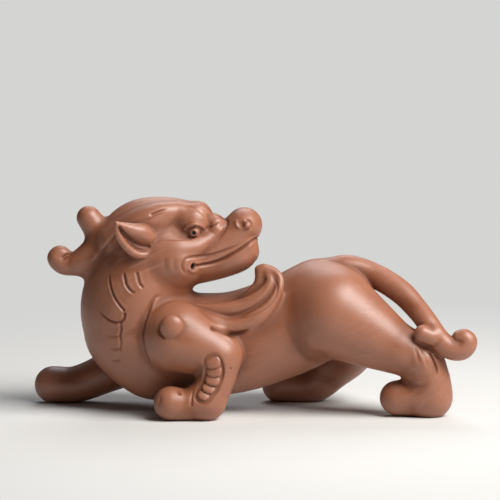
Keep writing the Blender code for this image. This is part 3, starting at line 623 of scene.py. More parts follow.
def camera_pose():
    """Place and turn of the camera, in the figure's own modelling frame."""
    back = Vector((0.0, -math.cos(CAMERA_HEIGHT_ANGLE), math.sin(CAMERA_HEIGHT_ANGLE)))
    place = Vector((0.0, 0.0, AIM_HEIGHT)) + back * CAMERA_DISTANCE
    focal_pixels = PHOTO_SIDE * LENS / SENSOR
    pitch = math.atan((AIM_PIXEL[1] - PHOTO_SIDE / 2) / focal_pixels)
    yaw = math.atan((AIM_PIXEL[0] - PHOTO_SIDE / 2) / focal_pixels)
    turn = (-back).to_track_quat("-Z", "Y") @ Euler((pitch, yaw, 0.0)).to_quaternion()
    return place, turn


class Tracer:
    """Throws points of the photograph on to the clay, along the camera's sight lines."""

    REACH_NEAR = 40 * MM
    REACH_FAR = 30 * MM
    STRIDE = 0.1 * MM

    def __init__(self, rolls):
        self.rolls = rolls
        self.place, self.turn = camera_pose()

    def sight(self, pixel):
        """Direction in which the camera sees a pixel."""
        half = PHOTO_SIDE / 2
        focal_pixels = PHOTO_SIDE * LENS / SENSOR
        ray = Vector(((pixel[0] - half) / focal_pixels, (half - pixel[1]) / focal_pixels, -1.0))
        return (self.turn @ ray).normalized()

    def at(self, pixel):
        """The first point of the clay behind a pixel, or the nearest miss."""
        ray = self.sight(pixel)
        start = (-self.REACH_NEAR - self.place.y) / ray.y
        stop = (self.REACH_FAR - self.place.y) / ray.y
        along = np.arange(start, stop, self.STRIDE)
        line = np.array(self.place) + along[:, None] * np.array(ray)
        field = clay_field(self.rolls, line)
        inside = np.nonzero(field < 0.0)[0]
        if len(inside) == 0:
            return line[np.argmin(field)]
        first = inside[0]
        share = field[first - 1] / (field[first - 1] - field[first])
        return line[first - 1] + share * (line[first] - line[first - 1])

    def path(self, pixels):
        """Points of the clay under a traced line."""
        return np.array([self.at(pixel) for pixel in smooth_path(pixels, 4)])

    def outward(self, point):
        """Direction out of the clay at a point."""
        probes = np.vstack([point, point + np.eye(3) * FIELD_STEP])
        field = clay_field(self.rolls, probes)
        slope = field[1:] - field[0]
        return slope / np.linalg.norm(slope)

    def stations(self, pixels, radii, rise=0.0):
        """Stations of a roll laid along a traced line, its middle lifted off the clay by rise."""
        pixels = np.array(pixels, float)
        radii = np.broadcast_to(radii, len(pixels))
        result = []
        for pixel, radius in zip(pixels, radii):
            point = self.at(pixel)
            result.append((*(point + self.outward(point) * rise), radius))
        return result


def mirrored(points, plane_y):
    """The same points or stations on the other side of a plane across Y."""
    points = np.array(points, float)
    points[:, 1] = 2 * plane_y - points[:, 1]
    return points


def applied_rolls(tracer):
    """Small forms laid on the clay: nostril wings and shoulder bosses."""
    nostril_wing = tracer.stations(NOSTRIL_WING, 0.35 * MM, rise=-0.1 * MM)
    return [
        Roll(nostril_wing, CRISP_BLEND),
        Roll(mirrored(nostril_wing, HEAD_PLANE_Y), CRISP_BLEND),
        Roll([SHOULDER_BOSS], EDGE_BLEND, ratio=(1.0, BOSS_DEPTH_RATIO, 1.0)),
        Roll(mirrored([SHOULDER_BOSS], 0.0), EDGE_BLEND, ratio=(1.0, BOSS_DEPTH_RATIO, 1.0)),
    ]


def balls_along(roll):
    """Centres and radii close enough together for a closed row."""
    balls = [(roll.centres[0], roll.radii[0])]
    for i in range(len(roll.centres) - 1):
        gap = np.linalg.norm(roll.centres[i + 1] - roll.centres[i])
        closest = BALL_SPACING_RATIO * min(roll.radii[i], roll.radii[i + 1])
        count = max(1, math.ceil(gap / closest))
        for step in range(1, count + 1):
            t = step / count
            centre = roll.centres[i] * (1 - t) + roll.centres[i + 1] * t
            balls.append((centre, roll.radii[i] * (1 - t) + roll.radii[i + 1] * t))
    return balls


def laid_on_balls(rolls):
    """Mesh of all the balls, still overlapping."""
    figure = bmesh.new()
    for roll in rolls:
        row = bmesh.new()
        for centre, radius in balls_along(roll):
            scale = Matrix.Diagonal((*roll.ratio, 1.0))
            place = Matrix.Translation(centre) @ scale
            fineness = 3 if radius > COARSE_BALL_RADIUS else 2
            bmesh.ops.create_icosphere(row, subdivisions=fineness, radius=radius, matrix=place)
        row_mesh = bpy.data.meshes.new("row")
        row.to_mesh(row_mesh)
        row.free()
        figure.from_mesh(row_mesh)
        bpy.data.meshes.remove(row_mesh)
    mesh = bpy.data.meshes.new("clay")
    figure.to_mesh(mesh)
    figure.free()
    return mesh


def bake(piece, settings, kind):
    """Adds one modifier, keeps its result as the mesh and takes the modifier off."""
    modifier = piece.modifiers.new(kind.title(), kind)
    for key, value in settings.items():
        setattr(modifier, key, value)
    bpy.context.view_layer.update()
    graph = bpy.context.evaluated_depsgraph_get()
    baked = bpy.data.meshes.new_from_object(piece.evaluated_get(graph))
    piece.modifiers.clear()
    old = piece.data
    piece.data = baked
    bpy.data.meshes.remove(old)


def get_points(mesh):
    """Vertex places as an array."""
    flat = np.empty(len(mesh.vertices) * 3, np.float32)
    mesh.vertices.foreach_get("co", flat)
    return flat.reshape(-1, 3).astype(float)


def get_normals(mesh):
    """Vertex normals as an array."""
    flat = np.empty(len(mesh.vertices) * 3, np.float32)
    mesh.vertex_normals.foreach_get("vector", flat)
    return flat.reshape(-1, 3).astype(float)


def set_points(mesh, points):
    """Writes vertex places back."""
    mesh.vertices.foreach_set("co", points.astype(np.float32).ravel())
    mesh.update()


def settle(piece, rolls, rounds, longest_move):
    """Moves the skin along its normals onto the clay's surface."""
    mesh = piece.data
    for _ in range(rounds):
        points = get_points(mesh)
        move = np.clip(clay_field(rolls, points), -longest_move, longest_move)
        set_points(mesh, points - move[:, None] * get_normals(mesh))


def gather_strays(mesh, rolls):
    """Brings vertices that hang in a tight gap straight down on to the clay."""
    points = get_points(mesh)
    for _ in range(STRAY_ROUNDS):
        field = clay_field(rolls, points)
        stray = np.nonzero(np.abs(field) > STRAY_HEIGHT)[0]
        if len(stray) == 0:
            break
        slope = np.empty((len(stray), 3))
        for axis in range(3):
            beside = points[stray]
            beside[:, axis] += FIELD_STEP
            slope[:, axis] = (clay_field(rolls, beside) - field[stray]) / FIELD_STEP
        steepness = np.maximum(np.linalg.norm(slope, axis=1), LEAST_SLOPE)
        points[stray] -= slope * (field[stray] / steepness ** 2)[:, None]
    set_points(mesh, points)


def drop_loose_bits(mesh):
    """Deletes small bits of skin that hang by themselves."""
    model = bmesh.new()
    model.from_mesh(mesh)
    unseen = set(model.verts)
    while unseen:
        bit = [unseen.pop()]
        for vertex in bit:
            for edge in vertex.link_edges:
                other = edge.other_vert(vertex)
                if other in unseen:
                    unseen.discard(other)
                    bit.append(other)
        if len(bit) < SMALLEST_BIT:
            bmesh.ops.delete(model, geom=bit, context="VERTS")
    model.to_mesh(mesh)
    model.free()


def skinned(rolls, voxel):
    """One closed fine surface over all the rolls."""
    piece = bpy.data.objects.new("clay_figure", laid_on_balls(rolls))
    bpy.context.scene.collection.objects.link(piece)
    bake(piece, {"mode": "VOXEL", "voxel_size": COARSE_VOXEL, "adaptivity": 0.0}, "REMESH")
    settle(piece, rolls, COARSE_ROUNDS, 2 * COARSE_VOXEL)
    bake(piece, {"mode": "VOXEL", "voxel_size": voxel, "adaptivity": 0.0}, "REMESH")
    settle(piece, rolls, FINE_ROUNDS, COARSE_VOXEL)
    gather_strays(piece.data, rolls)
    drop_loose_bits(piece.data)
    bake(piece, {"factor": SMOOTH_FACTOR, "iterations": SMOOTH_ROUNDS}, "SMOOTH")
    return piece


class Presser:
    """Presses lines, rims, overlaps and pits into the clay, all measured on the smooth surface."""

    LIP_OFFSET_SHARE = 2.0
    LIP_WIDTH_SHARE = 0.8
    PIT_FULLNESS = 0.7

    def __init__(self, piece):
        self.piece = piece
        self.points = get_points(piece.data)
        self.normals = get_normals(piece.data)
        self.shift = np.zeros(len(self.points))
        # Pits that get painted shade inside them
        self.shade_painted_pits = []

    def near_line(self, line, reach, across=1.0):
        """Vertices near a line: their distance, signed side, and share of the way along it.

        Distances along Y count by the share that across gives.
        """
        extent = reach * np.array([1.0, 1.0 / across, 1.0])
        low = line.min(0) - extent
        high = line.max(0) + extent
        index = np.nonzero(np.all((self.points > low) & (self.points < high), axis=1))[0]
        flattened = np.array([1.0, across, 1.0])
        points = self.points[index] * flattened
        line = line * flattened
        nearest = np.full(len(index), np.inf)
        side = np.zeros(len(index))
        share = np.zeros(len(index))
        lengths = np.linalg.norm(np.diff(line, axis=0), axis=1)
        before = np.concatenate([[0.0], np.cumsum(lengths)])
        for i in range(len(line) - 1):
            along = line[i + 1] - line[i]
            if lengths[i] == 0.0:
                continue
            offset = points - line[i]
            t = np.clip(offset @ along / (along @ along), 0.0, 1.0)
            gap = offset - t[:, None] * along
            distance = np.linalg.norm(gap, axis=1)
            closer = distance < nearest
            nearest[closer] = distance[closer]
            sideways = np.cross(along / lengths[i], self.normals[index[closer]])
            side[closer] = np.sign((sideways * gap[closer]).sum(1))
            share[closer] = (before[i] + t[closer] * lengths[i]) / before[-1]
        keep = nearest < reach
        return index[keep], nearest[keep], side[keep], share[keep]

    @staticmethod
    def fade(share, start, stop):
        """Fades a line in over its first part and out over its last."""
        weight = np.ones(len(share))
        if start > 0:
            weight *= smooth_step(share / start)
        if stop > 0:
            weight *= smooth_step((1.0 - share) / stop)
        return weight

    def groove(self, line, width, depth, start=0.15, stop=0.15, lip=0.15, across=1.0):
        """A pressed line with slightly raised lips."""
        index, distance, _, share = self.near_line(line, 4 * width, across)
        weight = self.fade(share, start, stop)
        bottom = np.exp(-(distance / width) ** 2)
        beyond = distance - self.LIP_OFFSET_SHARE * width
        lips = np.exp(-(beyond / (self.LIP_WIDTH_SHARE * width)) ** 2)
        self.shift[index] += depth * weight * (lip * lips - bottom)

    def bead(self, line, width, height, start=0.15, stop=0.15):
        """A raised rim."""
        index, distance, _, share = self.near_line(line, 3 * width)
        swell = np.exp(-(distance / width) ** 2)
        self.shift[index] += height * self.fade(share, start, stop) * swell

    def overlap(self, line, raised_side, height, width, fall, start=0.15, stop=0.15):
        """An edge where one form lies over the next: raised on one side, cut in on the other."""
        index, distance, side, share = self.near_line(line, 2.2 * fall)
        signed = distance * side * raised_side
        raised = 0.5 * (1.0 + np.tanh(signed / width))
        swell = np.exp(-(distance / fall) ** 2)
        cut = np.exp(-(distance / (LOW_SIDE_SHARE * fall)) ** 2)
        step = raised * RAISED_SHARE * swell - (1.0 - raised) * (1.0 - RAISED_SHARE) * cut
        self.shift[index] += height * self.fade(share, start, stop) * step

    def trough(self, line, half_width, wall, depth):
        """A track with a flat bottom and sloping walls."""
        index, distance, _, _ = self.near_line(line, half_width + wall)
        self.shift[index] -= depth * smooth_step((half_width + wall - distance) / wall)

    def pit(self, centre, radius, depth, dark=False):
        """A round hole, which is noted for painted shade inside it where dark is set."""
        distance = np.linalg.norm(self.points - centre, axis=1)
        inside = np.clip(1.0 - (distance / radius) ** 2, 0.0, 1.0)
        self.shift -= depth * inside ** self.PIT_FULLNESS
        if dark:
            outward = self.normals[np.argmin(distance)]
            self.shade_painted_pits.append((centre, centre - depth * outward, radius))

    def dent(self, centre, radius, depth):
        """A soft hollow, or a soft swelling where depth is negative."""
        distance = np.linalg.norm(self.points - centre, axis=1)
        self.shift -= depth * np.exp(-(distance / radius) ** 2)

    def apply(self):
        """Moves the vertices."""
        set_points(self.piece.data, self.points + self.shift[:, None] * self.normals)


def smooth_step(x):
    """Smooth rise from 0 to 1."""
    x = np.clip(x, 0.0, 1.0)
    return x * x * (3.0 - 2.0 * x)


class Hand:
    """Presses traced lines and spots into one side of the figure."""

    def __init__(self, presser, tracer, plane_y, side):
        self.presser = presser
        self.tracer = tracer
        self.plane_y = plane_y
        self.on_far_side = side == FAR

    def line(self, pixels):
        """A traced line on this side."""
        path = self.tracer.path(pixels)
        return mirrored(path, self.plane_y) if self.on_far_side else path

    def spot(self, pixel):
        """A traced point on this side."""
        point = self.tracer.at(pixel)
        return mirrored([point], self.plane_y)[0] if self.on_far_side else point

    def groove(self, pixels, **sizes):
        """A pressed line."""
        self.presser.groove(self.line(pixels), **sizes)

    def bead(self, pixels, **sizes):
        """A raised rim."""
        self.presser.bead(self.line(pixels), **sizes)

    def overlap(self, pixels, raised_side, **sizes):
        """An overlapping edge."""
        turn = -1.0 if self.on_far_side else 1.0
        self.presser.overlap(self.line(pixels), raised_side * turn, **sizes)

    def pit(self, pixel, **sizes):
        """A round hole."""
        self.presser.pit(self.spot(pixel), **sizes)

    def dent(self, pixel, **sizes):
        """A soft hollow or swelling."""
        self.presser.dent(self.spot(pixel), **sizes)


def detail_head(presser, tracer):
    """Mouth, lips, eyes, nostrils, brow, muzzle and mane, on both sides of the head."""
    mouth = tracer.path(MOUTH_LINE)
    around = np.vstack([mouth, mirrored(mouth, HEAD_PLANE_Y)[::-1]])
    presser.groove(around, MOUTH_WIDTH, MOUTH_DEPTH, start=0.0, stop=0.0)
    for side in (NEAR, FAR):
        hand = Hand(presser, tracer, HEAD_PLANE_Y, side)
        hand.groove(UPPER_LIP, width=0.36 * MM, depth=0.3 * MM, stop=0.3)
        hand.bead(CORNER_RIM, width=0.4 * MM, height=0.3 * MM)
        hand.groove(CHEEK_ARC, width=0.5 * MM, depth=0.12 * MM, start=0.3, stop=0.3)
        hand.groove(CHEEK_ARC_BACK, width=0.5 * MM, depth=0.1 * MM, start=0.3, stop=0.3)
        hand.overlap(
            MUZZLE_EDGE, 1, height=0.85 * MM, width=0.15 * MM, fall=1.1 * MM, start=0.45)
        hand.overlap(
            MUZZLE_LEAF, 1, height=0.9 * MM, width=0.25 * MM, fall=1.3 * MM, start=0.1, stop=0.4)
        hand.groove(NOSTRIL_OUTLINE, width=0.28 * MM, depth=0.4 * MM, start=0.2, stop=0.2)
        hand.dent(NOSTRIL_HOLLOW, radius=0.85 * MM, depth=0.4 * MM)
        hand.groove(BROW_RIDGE, width=0.4 * MM, depth=0.12 * MM, start=0.3, stop=0.1, lip=0.3)
        hand.groove(BRIDGE_CREASE, width=0.3 * MM, depth=0.12 * MM, start=0.4, stop=0.3, lip=0.0)
        hand.groove(FOREHEAD_SLIT, width=0.3 * MM, depth=0.6 * MM, start=0.1, stop=0.5, lip=0.0)
        hand.overlap(
            FOREHEAD_FOLD, -1, height=0.6 * MM, width=0.2 * MM, fall=1.0 * MM, start=0.2, stop=0.4)
        hand.groove(LID_SHADOW, width=0.3 * MM, depth=0.35 * MM, start=0.2, stop=0.2, lip=0.0)
        # Painted shade fills the pupil pit and the mouth corner pit
        hand.pit(PUPIL, radius=0.66 * MM, depth=0.75 * MM, dark=True)
        hand.pit(MOUTH_CORNER, radius=0.95 * MM, depth=1.3 * MM, dark=True)
        hand.overlap(
            MANE_EDGE, 1, height=0.5 * MM, width=0.4 * MM, fall=1.6 * MM, start=0.3, stop=0.3)
        hand.groove(HOOK_SPIRAL, width=0.4 * MM, depth=0.6 * MM, start=0.05, stop=0.4)
        hand.groove(EAR_FOLD_LINE, width=0.4 * MM, depth=0.7 * MM, start=0.1, stop=0.05, lip=0.0)


def detail_flank(hand):
    """Neck plates, belly scutes, shoulder edge, boss and wing on one side."""
    hand.groove(PLATE_FRONT, width=0.34 * MM, depth=0.4 * MM, start=0.3, stop=0.02, lip=0.3)
    hand.groove(PLATE_END, width=0.34 * MM, depth=0.4 * MM, start=0.02, stop=0.5, lip=0.3)
    hand.groove(PLATE_MIDDLE, width=0.34 * MM, depth=0.4 * MM, start=0.2, stop=0.3, lip=0.3)
    hand.groove(PLATE_BACK, width=0.34 * MM, depth=0.35 * MM, start=0.2, stop=0.3, lip=0.3)
    for swell in PLATE_SWELLS:
        hand.dent(swell, radius=2.2 * MM, depth=-0.25 * MM)
    hand.groove(SCUTE_EDGE, width=0.34 * MM, depth=0.26 * MM, start=0.02, stop=0.6, lip=0.3)
    for scute in SCUTES:
        hand.groove(scute, width=0.36 * MM, depth=0.15 * MM, start=0.7, stop=0.02, lip=0.3)
    hand.overlap(
        SHOULDER_EDGE, -1, height=0.8 * MM, width=0.3 * MM, fall=1.5 * MM, start=0.2, stop=0.3)
    hand.groove(BOSS_CRESCENT, width=0.4 * MM, depth=0.35 * MM, start=0.2, stop=0.3)
    hand.groove(WING_INNER_LINE, width=0.35 * MM, depth=0.12 * MM, start=0.2, stop=0.6)
    hand.groove(WING_OUTER_LINE, width=0.3 * MM, depth=0.22 * MM, start=0.2, stop=0.5)
    hand.groove(
        WING_UNDERCUT, width=0.5 * MM, depth=1.5 * MM, start=0.1, stop=0.5, lip=0.0, across=0.3)
    hand.groove(WING_UNDERCUT, width=1.1 * MM, depth=0.4 * MM, start=0.1, stop=0.6, lip=0.0)
    hand.bead(ARM_RIM, width=0.6 * MM, height=0.2 * MM, start=0.3, stop=0.4)


def detail_body(presser, tracer):
    """Both flanks, and the near paw, forearm and hock, which the photograph shows."""
    for side in (NEAR, FAR):
        detail_flank(Hand(presser, tracer, 0.0, side))
    near = Hand(presser, tracer, 0.0, NEAR)
    near.groove(TOE_CREASE, width=0.4 * MM, depth=0.35 * MM, start=0.5, stop=0.3, lip=0.0)
    near.groove(WRIST_CREASE, width=0.26 * MM, depth=0.35 * MM, start=0.3, stop=0.1, lip=0.0)
    near.groove(PAW_FRONT_CREASE, width=0.5 * MM, depth=0.25 * MM, start=0.4, stop=0.4, lip=0.0)
    presser.trough(near.line(PAD_PATH), TRACK_HALF_WIDTH, TRACK_WALL, TRACK_DEPTH)
    near.groove(PAD_TRACK_EDGE, width=0.35 * MM, depth=0.3 * MM, start=0.3, stop=0.3)
    near.bead(PAD_TRACK_RIM, width=0.45 * MM, height=0.3 * MM, start=0.3, stop=0.4)
    near.pit(FOREARM_PIN_PRICK, radius=0.3 * MM, depth=0.3 * MM)
    near.bead(HOCK_TUFT, width=1.8 * MM, height=0.55 * MM, start=0.0, stop=0.5)
    near.groove(HOCK_TUFT_EDGE, width=0.32 * MM, depth=0.7 * MM, start=0.1, stop=0.4, lip=0.3)
    for strand in HOCK_STRANDS:
        near.groove(strand, width=0.4 * MM, depth=0.22 * MM, start=0.2, stop=0.4)
    near.dent(HOCK_HOLLOW, radius=1.8 * MM, depth=0.5 * MM)
    near.dent(INSTEP_SWELL, radius=3.0 * MM, depth=-0.45 * MM)


class Wiring:
    """Short ways to add linked nodes to a node tree."""

    def __init__(self, tree):
        self.tree = tree

    def feed(self, node, inputs):
        """Links each input to a socket, or sets it to a value."""
        for label, value in inputs.items():
            if isinstance(value, bpy.types.NodeSocket):
                self.tree.links.new(value, node.inputs[label])
            else:
                node.inputs[label].default_value = value
        return node

    def add(self, kind, inputs=None, **settings):
        """A node with its settings and its inputs."""
        node = self.tree.nodes.new(kind)
        for name, value in settings.items():
            setattr(node, name, value)
        return self.feed(node, inputs or {})

    def group(self, tree, inputs):
        """A node group with its own inputs."""
        return self.add("ShaderNodeGroup", inputs, node_tree=tree).outputs

    def attribute(self, name):
        """A value kept on the vertices."""
        return self.add("ShaderNodeAttribute", attribute_name=name).outputs["Fac"]

    def noise(self, place, scale, detail=2.0):
        """Soft noise, finer where its scale is larger."""
        inputs = {"Vector": place, "Scale": scale, "Detail": detail}
        return self.add("ShaderNodeTexNoise", inputs).outputs["Fac"]

    def spread(self, value, low, high, start, stop, interpolation="LINEAR"):
        """A value stretched from low..high to start..stop, and held at its ends."""
        limits = {"From Min": low, "From Max": high, "To Min": start, "To Max": stop}
        inputs = {"Value": value, **limits}
        node = self.add("ShaderNodeMapRange", inputs, interpolation_type=interpolation)
        return node.outputs["Result"]

    def math(self, operation, *values):
        """The result of one operation on the values."""
        node = self.add("ShaderNodeMath", dict(enumerate(values)), operation=operation)
        return node.outputs["Value"]

    def sum(self, first, second, share):
        """The first value plus a share of the second."""
        return self.math("MULTIPLY_ADD", second, share, first)

    def mix(self, factor, first, second):
        """One colour laid over another."""
        inputs = {"Factor": factor, 6: first, 7: second}
        return self.add("ShaderNodeMix", inputs, data_type="RGBA").outputs[2]


def opaque(colour):
    """A colour with its alpha, as a socket wants it."""
    return (*colour, 1.0)


def pillow_row(line, outward, clay):
    """Pillows laid in a row along a line on the clay, made as a mesh by a node tree."""
    mesh = bpy.data.meshes.new("pad_row")
    mesh.from_pydata(line.tolist(), [(i, i + 1) for i in range(len(line) - 1)], [])
    layer = mesh.attributes.new("outward", "FLOAT_VECTOR", "POINT")
    layer.data.foreach_set("vector", outward.astype(np.float32).ravel())
    row = bpy.data.objects.new("pad_row", mesh)
    bpy.context.scene.collection.objects.link(row)
    tree, sockets = pillow_tree(clay)
    modifier = row.modifiers.new("Pads", "NODES")
    modifier.node_group = tree
    sizes = {
        "Count": PAD_COUNT, "Half Width": PAD_HALF_WIDTH, "Half Length": PAD_HALF_LENGTH,
        "Thickness": PAD_THICKNESS, "Roundness": PAD_ROUNDNESS,
        "Tilt": PAD_TILT, "Last Share": PAD_LAST_SHARE,
    }
    for label, value in sizes.items():
        modifier[sockets[label]] = value
    bpy.context.view_layer.update()
    graph = bpy.context.evaluated_depsgraph_get()
    result = bpy.data.meshes.new_from_object(row.evaluated_get(graph))
    row.modifiers.clear()
    row.data = result
    return row


def pillow_tree(clay):
    """Node tree that sets tilted pillows at even steps along a line, smaller towards its end."""
    tree = bpy.data.node_groups.new("Pillow row", "GeometryNodeTree")
    face = tree.interface
    face.new_socket("Geometry", in_out="INPUT", socket_type="NodeSocketGeometry")
    labels = ("Count", "Half Width", "Half Length", "Thickness", "Roundness", "Tilt", "Last Share")
    sockets = {}
    for label in labels:
        kind = "NodeSocketInt" if label == "Count" else "NodeSocketFloat"
        sockets[label] = face.new_socket(label, in_out="INPUT", socket_type=kind).identifier
    face.new_socket("Geometry", in_out="OUTPUT", socket_type="NodeSocketGeometry")
    wiring = Wiring(tree)
    add = wiring.add
    given = add("NodeGroupInput").outputs
    curve = add("GeometryNodeMeshToCurve", {"Mesh": given["Geometry"]}).outputs["Curve"]
    steps = add("GeometryNodeResampleCurve", {"Curve": curve, "Count": given["Count"]})

    # Turn: flat on the clay, along the line, then tilted over the next pillow
    outward = add("GeometryNodeInputNamedAttribute", {"Name": "outward"}, data_type="FLOAT_VECTOR")
    facing = add(
        "FunctionNodeAlignRotationToVector", {"Vector": outward.outputs["Attribute"]}, axis="Z")
    tangent = add("GeometryNodeInputTangent").outputs["Tangent"]
    lengthwise = {"Rotation": facing.outputs["Rotation"], "Vector": tangent}
    along = add("FunctionNodeAlignRotationToVector", lengthwise, axis="Y", pivot_axis="Z")
    tilt = add("FunctionNodeAxisAngleToRotation", {"Axis": (1.0, 0.0, 0.0), "Angle": given["Tilt"]})
    turns = {"Rotation": along.outputs["Rotation"], "Rotate By": tilt.outputs["Rotation"]}
    tilted = add("FunctionNodeRotateRotation", turns, rotation_space="LOCAL")

    # Shape: a block rounded part of the way to a ball
    grid = {"Vertices " + axis: PAD_GRID for axis in "XYZ"}
    block = add("GeometryNodeMeshCube", {"Size": (2.0, 2.0, 2.0), **grid}).outputs["Mesh"]
    corner = add("GeometryNodeInputPosition").outputs["Position"]
    ball = add("ShaderNodeVectorMath", {0: corner}, operation="NORMALIZE").outputs["Vector"]
    halfway = {"Factor": given["Roundness"], 4: corner, 5: ball}
    rounded = add("ShaderNodeMix", halfway, data_type="VECTOR").outputs[1]
    pillow = add("GeometryNodeSetPosition", {"Geometry": block, "Position": rounded})

    # Size: smaller towards the end of the row
    progress = add("GeometryNodeSplineParameter").outputs["Factor"]
    shrink = wiring.spread(progress, PAD_SHRINK_START, 1.0, 1.0, given["Last Share"])
    halves = {"X": given["Half Width"], "Y": given["Half Length"], "Z": given["Thickness"]}
    shape = add("ShaderNodeCombineXYZ", halves).outputs["Vector"]
    size = add("ShaderNodeVectorMath", {0: shape, "Scale": shrink}, operation="SCALE")

    laid = add("GeometryNodeInstanceOnPoints", {
        "Points": steps.outputs["Curve"], "Instance": pillow.outputs["Geometry"],
        "Rotation": tilted.outputs["Rotation"], "Scale": size.outputs["Vector"],
    })
    real = add("GeometryNodeRealizeInstances", {"Geometry": laid.outputs["Instances"]})
    coat = add("GeometryNodeSetMaterial", {"Geometry": real.outputs["Geometry"], "Material": clay})
    add("NodeGroupOutput", {"Geometry": coat.outputs["Geometry"]})
    return tree, sockets


def lay_on_pads(piece, tracer, clay):
    """Joins the row of pads to the forearm."""
    line = tracer.path(PAD_PATH)
    outward = np.array([tracer.outward(point) for point in line])
    row = pillow_row(line - outward * PAD_SINK, outward, clay)
    bake(piece, {"operation": "UNION", "solver": "MANIFOLD", "object": row}, "BOOLEAN")
    bpy.data.objects.remove(row)


def neighbour_mean(points, edges, counts):
    """Mean place of each vertex's neighbours."""
    total = np.zeros_like(points)
    for axis in range(3):
        total[:, axis] = np.bincount(edges[:, 0], points[edges[:, 1], axis], len(points))
        total[:, axis] += np.bincount(edges[:, 1], points[edges[:, 0], axis], len(points))
    return total / counts[:, None]


def mark_surface(mesh, shade_painted_pits):
    """Keeps what is hollow or proud, which the material paints with shade and highlight, and how
    far the painted shade of the pits reaches.
    """
    edges = np.empty(len(mesh.edges) * 2, np.int32)
    mesh.edges.foreach_get("vertices", edges)
    edges = edges.reshape(-1, 2)
    points = get_points(mesh)
    counts = np.maximum(np.bincount(edges.ravel(), minlength=len(points)), 1)
    smooth = points
    for _ in range(RELIEF_ROUNDS):
        smooth = neighbour_mean(smooth, edges, counts)
    relief = ((points - smooth) * get_normals(mesh)).sum(1)
    # Share of painted shade in the pits
    pit = np.zeros(len(points))
    for mouth, bottom, radius in shade_painted_pits:
        axis = bottom - mouth
        along = np.clip((points - mouth) @ axis / (axis @ axis), 0.0, 1.0)
        distance = np.linalg.norm(points - mouth - along[:, None] * axis, axis=1)
        pit = np.maximum(pit, smooth_step(2.0 * (1.0 - distance / (PIT_SPREAD * radius))))
    for name, values in (("relief", np.clip(relief / RELIEF_HEIGHT, -1.0, 1.0)), ("pit", pit)):
        layer = mesh.attributes.new(name, "FLOAT", "POINT")
        layer.data.foreach_set("value", values.astype(np.float32))


def new_group(name, inputs, outputs):
    """An empty shader node group with number and vector inputs."""
    tree = bpy.data.node_groups.new(name, "ShaderNodeTree")
    for label, default in inputs.items():
        kind = "NodeSocketVector" if default is None else "NodeSocketFloat"
        socket = tree.interface.new_socket(label, in_out="INPUT", socket_type=kind)
        if default is not None:
            socket.default_value = default
    for label in outputs:
        tree.interface.new_socket(label, in_out="OUTPUT", socket_type="NodeSocketFloat")
    wiring = Wiring(tree)
    return wiring, wiring.add("NodeGroupInput").outputs


def grain_group():
    """Fine grain of clay: an even roughness, scattered specks and broad soft clouds."""
    scales = {"Grain Scale": GRAIN_SCALE, "Speck Scale": SPECK_SCALE, "Cloud Scale": CLOUD_SCALE}
    inputs = {"Vector": None, **scales}
    wiring, given = new_group("Fine grain", inputs, ("Grain", "Specks", "Clouds"))
    specks = wiring.noise(given["Vector"], given["Speck Scale"])
    wiring.add("NodeGroupOutput", {
        "Grain": wiring.noise(given["Vector"], given["Grain Scale"], detail=3.0),
        "Specks": wiring.spread(specks, *SPECK_RANGE, 0.0, 1.0, "SMOOTHSTEP"),
        "Clouds": wiring.noise(given["Vector"], given["Cloud Scale"], detail=4.0),
    })
    return wiring.tree


def streak_group():
    """Fine marks that a burnishing tool leaves along one direction, in patches."""
    inputs = {
        "Vector": None, "Turn": STREAK_TURN, "Spacing Scale": STREAK_SCALE,
        "Length Share": STREAK_LENGTH_SHARE, "Patch Scale": STREAK_PATCH_SCALE,
    }
    wiring, given = new_group("Burnish streaks", inputs, ("Streaks",))
    turning = {"Vector": given["Vector"], "Angle": given["Turn"]}
    turned = wiring.add("ShaderNodeVectorRotate", turning, rotation_type="Y_AXIS").outputs["Vector"]
    stretch = wiring.add("ShaderNodeCombineXYZ", {"X": given["Length Share"], "Y": 1.0, "Z": 1.0})
    stretching = {0: turned, 1: stretch.outputs["Vector"]}
    shaped = wiring.add("ShaderNodeVectorMath", stretching, operation="MULTIPLY").outputs["Vector"]
    marks = wiring.noise(shaped, given["Spacing Scale"])
    patches = wiring.noise(given["Vector"], given["Patch Scale"])
    shown = wiring.spread(patches, *STREAK_PATCH_RANGE, 0.0, 1.0, "SMOOTHSTEP")
    kept = wiring.math("MULTIPLY", wiring.math("SUBTRACT", marks, 0.5), shown)
    wiring.add("NodeGroupOutput", {"Streaks": kept})
    return wiring.tree


